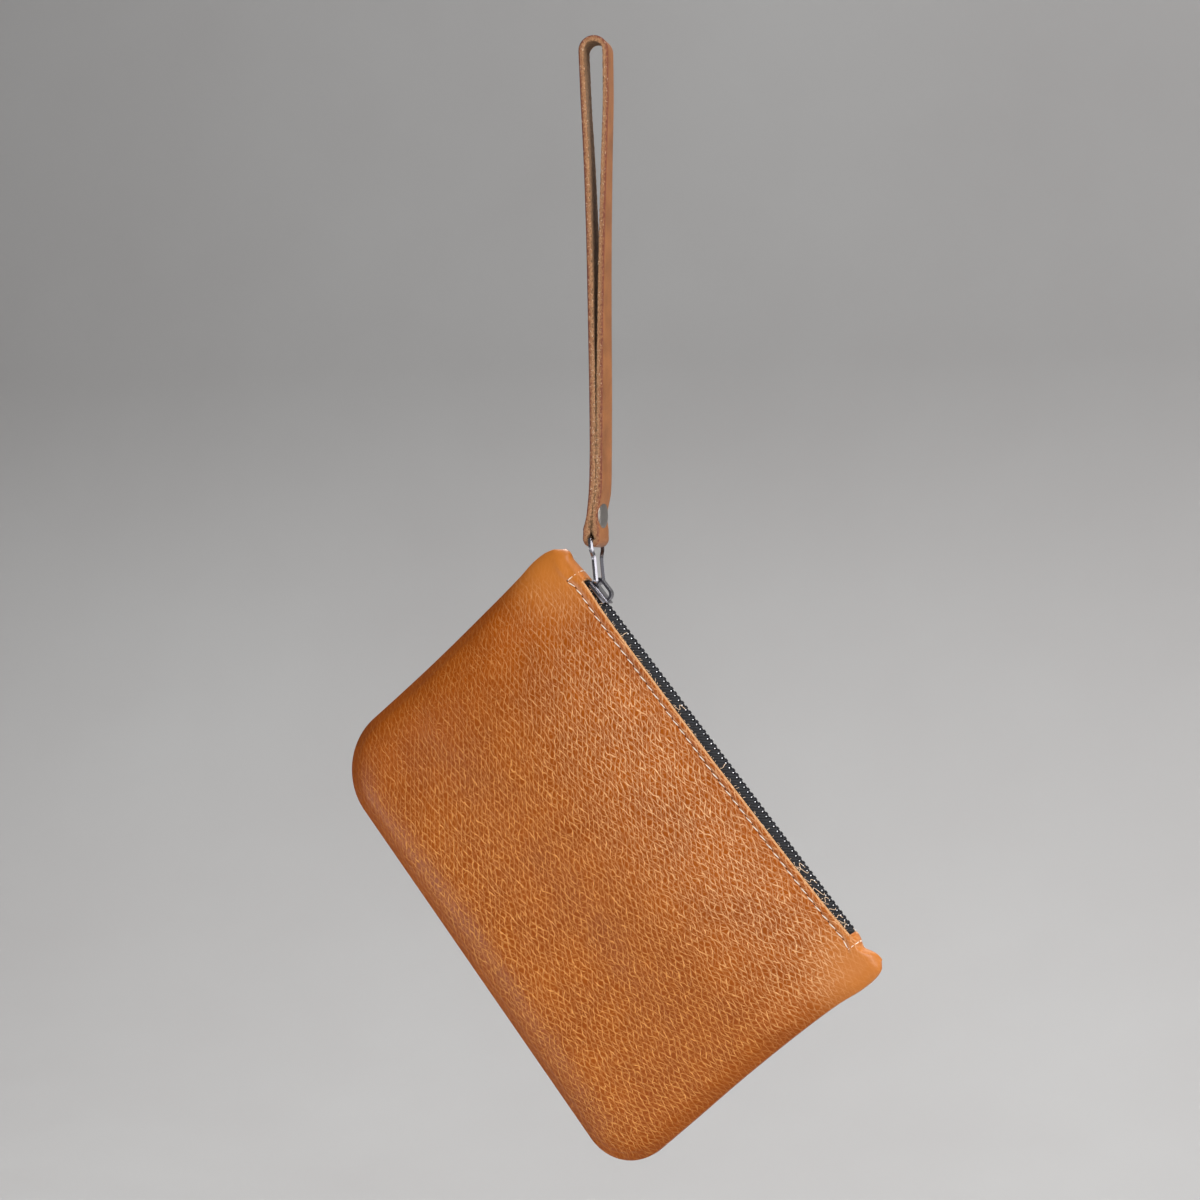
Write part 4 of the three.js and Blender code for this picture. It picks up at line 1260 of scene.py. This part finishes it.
# The strap's inside: dark brown, dull and fibrous
strap_flesh = fibrous_finish("dark_flesh_side", "#573a25", "#95704c", 0.8)
print("strap finishes:", strap_grain.name, strap_flesh.name)

# %% [markdown]
# The strap's cut edge is dark red where the dye soaked in under the grain, pale and fibrous in the middle,
# and brown on the flesh side. The mesh carries its depth below the grain as a number of its own, and a
# colour ramp reads it.

# %% Cut edge of the strap
EDGE_FIBRE = 0.38 * MM
# From just under the grain to the flesh side
EDGE_LAYERS = [(0.24, "#7d4a33"), (0.36, "#a4744c"), (0.48, "#7d5034"), (0.62, "#b98a63"), (0.82, "#7c5839")]

# Cut bridle hide: dry fibres in bands of red, pale tan and brown
strap_edge, tree, shader = new_finish("cut_bridle_hide_edge")
place = add_node(tree, "ShaderNodeTexCoord")
drawn_out = add_node(tree, "ShaderNodeMapping", values={"Scale": (1.0, 1.0, 0.45)},
                     links={"Vector": place.outputs["Object"]})
fibres = add_node(tree, "ShaderNodeTexNoise",
                  values={"Scale": 1 / EDGE_FIBRE, "Detail": 3.0, "Roughness": 0.65},
                  links={"Vector": drawn_out.outputs["Vector"]})
depth = add_node(tree, "ShaderNodeAttribute", {"attribute_name": "depth_mm"})
layer = add_node(tree, "ShaderNodeMath", {"operation": "MULTIPLY_ADD"}, {1: 0.42, 2: -0.9},
                 {0: depth.outputs["Fac"]})
loosened = add_node(tree, "ShaderNodeMath", {"operation": "MULTIPLY_ADD"}, {1: 1.8},
                    {0: fibres.outputs["Fac"], 2: layer.outputs["Value"]})
tone = add_node(tree, "ShaderNodeValToRGB", links={"Fac": loosened.outputs["Value"]})
tone.color_ramp.elements[0].color = colour("#6b3524")
tone.color_ramp.elements[1].color = colour("#5f4228")
for position, code in EDGE_LAYERS:
    tone.color_ramp.elements.new(position).color = colour(code)
nap = add_node(tree, "ShaderNodeBump", values={"Strength": 1.0, "Distance": 0.0004},
               links={"Height": fibres.outputs["Fac"]})
tree.links.new(tone.outputs["Color"], shader.inputs["Base Color"])
tree.links.new(nap.outputs["Normal"], shader.inputs["Normal"])
shader.inputs["Roughness"].default_value = 0.9
print("cut edge nodes:", len(tree.nodes))

# %% Strap sizes
STRAP_WIDE, STRAP_THICK = 10.0, 2.0
FOLD_GAP = 0.15
RIVET_DROP = 162.8
# Down the two strands: half the gap between them, thickness, turn in degrees, shift to the right
STRANDS = [
    {"drop": 3.2, "half_gap": 3.2, "thick": 2.0, "turn": 9.0, "lean": 0.0},
    {"drop": 20.0, "half_gap": 2.9, "thick": 2.0, "turn": 9.0, "lean": 0.45},
    {"drop": 40.0, "half_gap": 2.1, "thick": 2.0, "turn": 7.5, "lean": 0.8},
    {"drop": 70.0, "half_gap": 1.2, "thick": 2.05, "turn": 5.0, "lean": 1.15},
    {"drop": 98.0, "half_gap": 0.65, "thick": 2.1, "turn": 2.0, "lean": 1.45},
    {"drop": 122.0, "half_gap": 0.2, "thick": 2.25, "turn": 0.0, "lean": 1.75},
    {"drop": 140.0, "half_gap": 0.04, "thick": 2.3, "turn": 0.0, "lean": 1.8},
    {"drop": 155.0, "half_gap": 0.02, "thick": 2.35, "turn": 0.0, "lean": 1.45},
    {"drop": 162.6, "half_gap": 0.02, "thick": 2.1, "turn": 0.0, "lean": 0.35},
    {"drop": 165.5, "half_gap": 0.05, "thick": 2.5, "turn": 0.0, "lean": 0.15},
    {"drop": 167.6, "half_gap": 0.1, "thick": 2.85, "turn": 0.0, "lean": 0.0},
    {"drop": 169.3, "half_gap": 0.35, "thick": 2.6, "turn": 0.0, "lean": 0.0},
]
STRAND_STEPS, ARC_STEPS = 190, 20
FOLD_ARC = (math.pi * 0.94, math.pi * 2.06)  # the fold holds the ring's bar a little past half a turn
ring_drop = -ring_top.z / MM
print("strap from its top to the ring's bar:", round(ring_drop, 1), "mm")

# %% Side view and cut section
GRAIN, FLESH, CUT = 0, 1, 2
GRAIN_ROUND, FLESH_ROUND = 0.25, 0.06  # how far in from the cut edge the two flat sides end
CUT_BULGE = [(0.0, 0.3), (0.04, 0.8), (0.04, 1.3), (0.0, 1.75)]  # how far out, at what depth


def strap_side_view(share):
    """Side view of the band as (x, drop), down the left strand and up the right one.

    Share 1 gives the grain side and share 0 the flesh side.
    """
    strand = []
    for i in range(STRAND_STEPS + 1):
        drop = mix(STRANDS[0]["drop"], STRANDS[-1]["drop"], i / STRAND_STEPS)
        thick = read_table(STRANDS, "drop", "thick", drop)
        strand.append((read_table(STRANDS, "drop", "half_gap", drop) + thick * share, drop))
    fold = RING_WIRE + FOLD_GAP + STRAP_THICK * share
    top = STRANDS[0]["half_gap"] + STRAP_THICK * share
    loop = [(-x, drop) for x, drop in strand]
    for i in range(1, ARC_STEPS):
        angle = mix(*FOLD_ARC, i / ARC_STEPS)
        loop.append((fold * math.cos(angle), ring_drop - fold * math.sin(angle)))
    loop.extend(reversed(strand))
    for i in range(1, ARC_STEPS):
        angle = math.pi * i / ARC_STEPS
        loop.append((top * math.cos(angle), STRANDS[0]["drop"] - top * math.sin(angle)))
    return loop


def strap_section():
    """Points round the cut section: (across, depth below the grain, finish of the side that follows)."""
    half = STRAP_WIDE / 2
    grain_half = half - GRAIN_ROUND
    flesh_half = half - FLESH_ROUND
    points = [(mix(-grain_half, grain_half, i / 10), 0.0, GRAIN) for i in range(10)]
    points.append((grain_half, 0.0, CUT))
    points += [(half + out, deep, CUT) for out, deep in CUT_BULGE]
    points += [(mix(flesh_half, -flesh_half, i / 6), STRAP_THICK, FLESH) for i in range(6)]
    points.append((-flesh_half, STRAP_THICK, CUT))
    points += [(-half - out, deep, CUT) for out, deep in reversed(CUT_BULGE)]
    return points


def strap_point(step, across, deep):
    """Point of the band in millimetres, with ragged cut edges and a hollow under the rivet's caps."""
    x, drop = Vector(outer_view[step]).lerp(Vector(inner_view[step]), deep / STRAP_THICK)
    at_edge = smooth_step(STRAP_WIDE / 2 - 0.6, STRAP_WIDE / 2 - 0.2, abs(across))
    ragged = noise.noise(Vector((walk[step] / 1.3, deep * 1.6, across))) * 0.16
    ragged += noise.noise(Vector((walk[step] / 0.55, deep * 3.1, across))) * 0.07
    y = across + math.copysign(ragged * at_edge, across)
    x += noise.noise(Vector((walk[step] / 1.1, across * 0.8, 5.0))) * 0.16 * smooth_step(1.2, 2.0, deep)
    pressed = math.exp(-((drop - RIVET_DROP) ** 2 + y * y) / 4.2 ** 2)
    x *= 1 - 0.18 * pressed
    turn = math.radians(read_table(STRANDS, "drop", "turn", drop))
    point = Matrix.Rotation(turn, 3, "Z") @ Vector((x, y, -drop))
    return point + Vector((read_table(STRANDS, "drop", "lean", drop), 0, 0))


outer_view = strap_side_view(1.0)
inner_view = strap_side_view(0.0)
walk = [0.0]
for first, second in zip(outer_view, outer_view[1:] + outer_view[:1]):
    walk.append(walk[-1] + math.dist(first, second))
section = strap_section()
steps = len(outer_view)
print("strap length along its grain:", round(walk[-1], 1), "mm")

# %% Wrap a grid into the strap
bm = bmesh.new()
bmesh.ops.create_grid(bm, x_segments=steps, y_segments=len(section), size=1.0)
strap_layer = bm.loops.layers.uv.new("strap_mm")
depth_layer = bm.verts.layers.float.new("depth_mm")
grid_place = {}
for v in bm.verts:
    grid_place[v] = (round((v.co.x + 1) / 2 * steps), round((v.co.y + 1) / 2 * len(section)))
for side_face in bm.faces:
    first_row = min(grid_place[v][1] for v in side_face.verts)
    side_face.material_index = section[first_row][2]
    for loop in side_face.loops:
        step, row = grid_place[loop.vert]
        loop[strap_layer].uv = (walk[step], section[row % len(section)][0])
for v, (step, row) in grid_place.items():
    across, deep, _ = section[row % len(section)]
    drop = outer_view[step % steps][1]
    v[depth_layer] = deep + 0.3 * smooth_step(158, 166, drop)  # no dye on the fold's edge
    v.co = strap_point(step % steps, across, deep)
bmesh.ops.remove_doubles(bm, verts=bm.verts, dist=0.001)
bmesh.ops.recalc_face_normals(bm, faces=bm.faces)
make_piece("strap_band", bm, [strap_grain, strap_flesh, strap_edge], "strap",
           ["wrist_strap"], sharp=70, place=in_millimetres)

# %% [markdown]
# ## Rivet
# A two-part rivet clamps the strands above the ring. Its caps are stamped steel with a satin plating,
# nearly flat, with a soft rim. Its profile is spun about the rivet's axis, which gives both caps and the
# post at once.

# %% Rivet finish
SCUFF_SIZE = 0.9 * MM

# Satin plated steel: grey, with soft scuffed reflections
satin, tree, shader = new_finish("satin_nickel_steel")
place = add_node(tree, "ShaderNodeTexCoord")
scuff = add_node(tree, "ShaderNodeTexNoise",
                 values={"Scale": 1 / SCUFF_SIZE, "Detail": 5.0, "Roughness": 0.7},
                 links={"Vector": place.outputs["Object"]})
tone = add_node(tree, "ShaderNodeValToRGB", links={"Fac": scuff.outputs["Fac"]})
tone.color_ramp.elements[0].color = colour("#6f6a66")
tone.color_ramp.elements[1].color = colour("#a8a29c")
gloss = add_node(tree, "ShaderNodeMapRange", values={"To Min": 0.3, "To Max": 0.5},
                 links={"Value": scuff.outputs["Fac"]})
tree.links.new(tone.outputs["Color"], shader.inputs["Base Color"])
tree.links.new(gloss.outputs["Result"], shader.inputs["Roughness"])
shader.inputs["Metallic"].default_value = 1.0
print("rivet nodes:", len(tree.nodes))

# %% Rivet
RIVET_CAP, RIVET_BACK, RIVET_POST = 4.65, 4.0, 1.5
RIVET_SEAT, RIVET_FACE = 1.9, 3.1
BACK_SEAT, BACK_FACE = -1.45, -2.0
# Radius and distance along the rivet's axis, from the back cap's middle to the front cap's
profile = [
    (0.0, BACK_FACE), (RIVET_BACK - 0.4, BACK_FACE), (RIVET_BACK, BACK_FACE + 0.3),
    (RIVET_BACK, BACK_SEAT), (RIVET_POST, BACK_SEAT), (RIVET_POST, RIVET_SEAT),
    (RIVET_CAP - 0.2, RIVET_SEAT), (RIVET_CAP, RIVET_SEAT + 0.2), (RIVET_CAP, RIVET_FACE - 0.6),
    (RIVET_CAP - 0.12, RIVET_FACE - 0.38), (RIVET_CAP - 0.4, RIVET_FACE - 0.18),
    (RIVET_CAP - 0.9, RIVET_FACE - 0.06), (RIVET_CAP * 0.5, RIVET_FACE), (0.0, RIVET_FACE),
]
bm = bmesh.new()
chain = [bm.verts.new((x, 0, r)) for r, x in profile]
for first, second in zip(chain, chain[1:]):
    bm.edges.new((first, second))
bmesh.ops.spin(bm, geom=bm.verts[:] + bm.edges[:], cent=(0, 0, 0), axis=(1, 0, 0), angle=2 * math.pi,
               steps=40, use_merge=True)
bmesh.ops.remove_doubles(bm, verts=bm.verts, dist=0.001)
bmesh.ops.recalc_face_normals(bm, faces=bm.faces)
rivet_place = in_millimetres @ Matrix.Translation((0, 0, -RIVET_DROP))
make_piece("rivet_caps", bm, [satin], "strap", ["strap_rivet"], sharp=50, place=rivet_place)

# %% [markdown]
# ## Loose fibres
# Cut leather sheds. Short hairs stand along the slot's edges and on the strap's cut edges, and a few long
# ones lie across the tape and tangle near the zip's closed end. Each is a very fine bent wire.

# %% Fibre finish
# Single fibres of hide: pale, dry threads that catch the light
fibre, tree, shader = new_finish("loose_hide_fibre")
shader.inputs["Base Color"].default_value = colour("#ecd0b2")
shader.inputs["Roughness"].default_value = 0.8
print("fibre nodes:", len(tree.nodes))

# %% Hairs along the slot
SLOT_HAIR_HALF = 0.06 * MM
HAIR_SHARES = (0, 0.35, 0.7, 1.0)


def bent_hair(start, toward, curl, length):
    """Four points of a hair that sets out one way and curls another."""
    return [start + toward * length * t + curl * length * t * t for t in HAIR_SHARES]


picker = random.Random(11)
hairs = []
for face in (-1, 1):
    u = -SLOT_END[-1] + 2
    while u < SLOT_END[1] - 1:
        u += picker.uniform(0.5, 2.4)
        inward = LIP_HALF - picker.uniform(0.3, 1.4)
        start = Vector((u, face * inward, lip_up(u) - 0.05))
        toward = Vector((picker.uniform(-0.7, 0.7), -face * picker.uniform(0.4, 1.0),
                         picker.uniform(0.1, 0.8)))
        curl = Vector((picker.uniform(-0.5, 0.5), 0, picker.uniform(-0.5, 0.1)))
        length = picker.uniform(0.5, 1.3)
        hairs.append([pouch_place @ point for point in bent_hair(start, toward, curl, length)])
bm = bent_wire(hairs, SLOT_HAIR_HALF, sides=0)
make_piece("slot_hairs", bm, [fibre], "pouch")

# %% Long fibres on the tape
LONG_FIBRE_HALF = 0.09 * MM
TAPE_SHOWS = (8.6, 11.4)  # the part of the tape's section that the fibres lie across
LONG_FIBRES = [
    {"u": -53.5, "slant": 0.4, "bow": 0.1}, {"u": -21.5, "slant": 3.2, "bow": 1.4},
    {"u": 3.7, "slant": -0.3, "bow": 0.2}, {"u": 46.5, "slant": 2.4, "bow": 1.6},
    {"u": 48.0, "slant": 3.0, "bow": -1.0}, {"u": 52.5, "slant": 3.6, "bow": 1.0},
    {"u": 57.0, "slant": 2.8, "bow": -1.2}, {"u": 60.5, "slant": 0.8, "bow": 0.9},
    {"u": 64.5, "slant": 0.5, "bow": -0.5}, {"u": 67.5, "slant": 2.6, "bow": 0.8},
    {"u": 70.0, "slant": -1.2, "bow": -0.9}, {"u": 71.5, "slant": 1.6, "bow": 0.8},
]
fibres_on_tape = []
for row in LONG_FIBRES:
    path = []
    for i in range(13):
        t = i / 12
        along = mix(*TAPE_SHOWS, t)
        u = row["u"] + row["slant"] * (t - 0.5) + row["bow"] * math.sin(math.pi * 2 * t)
        y = read_table(TAPE_SECTION, "along", "y", along) + 0.22 + 0.25 * math.sin(math.pi * t)
        up = read_table(TAPE_SECTION, "along", "up", along) + 0.1
        path.append(pouch_place @ Vector((u, -y, up)))
    fibres_on_tape.append(path)
bm = bent_wire(fibres_on_tape, LONG_FIBRE_HALF, sides=1)
make_piece("tape_fibres", bm, [fibre], "pouch")

# %% Hairs on the strap
STRAP_HAIR_HALF = 0.05 * MM
HAIR_TRIES = 420
HAIR_END = -163.0  # below this the ring swings close to the strap
picker = random.Random(5)
hairs = []
for i in range(HAIR_TRIES):
    step = picker.randrange(steps)
    edge_side = picker.choice((-1, -1, 1))
    deep = picker.uniform(0.3, 1.9)
    start = strap_point(step, edge_side * STRAP_WIDE / 2, deep)
    if start.z < HAIR_END:
        continue
    toward = Vector((picker.uniform(-0.8, 0.8), edge_side * picker.uniform(0.1, 0.6),
                     picker.uniform(-1, 1)))
    length = picker.uniform(0.3, 0.8)
    curl = Vector((picker.uniform(-0.5, 0.5), -edge_side * 0.3, picker.uniform(-0.5, 0.5)))
    hairs.append([point * MM for point in bent_hair(start, toward, curl, length)])
bm = bent_wire(hairs, STRAP_HAIR_HALF, sides=0)
make_piece("strap_hairs", bm, [fibre], "strap")
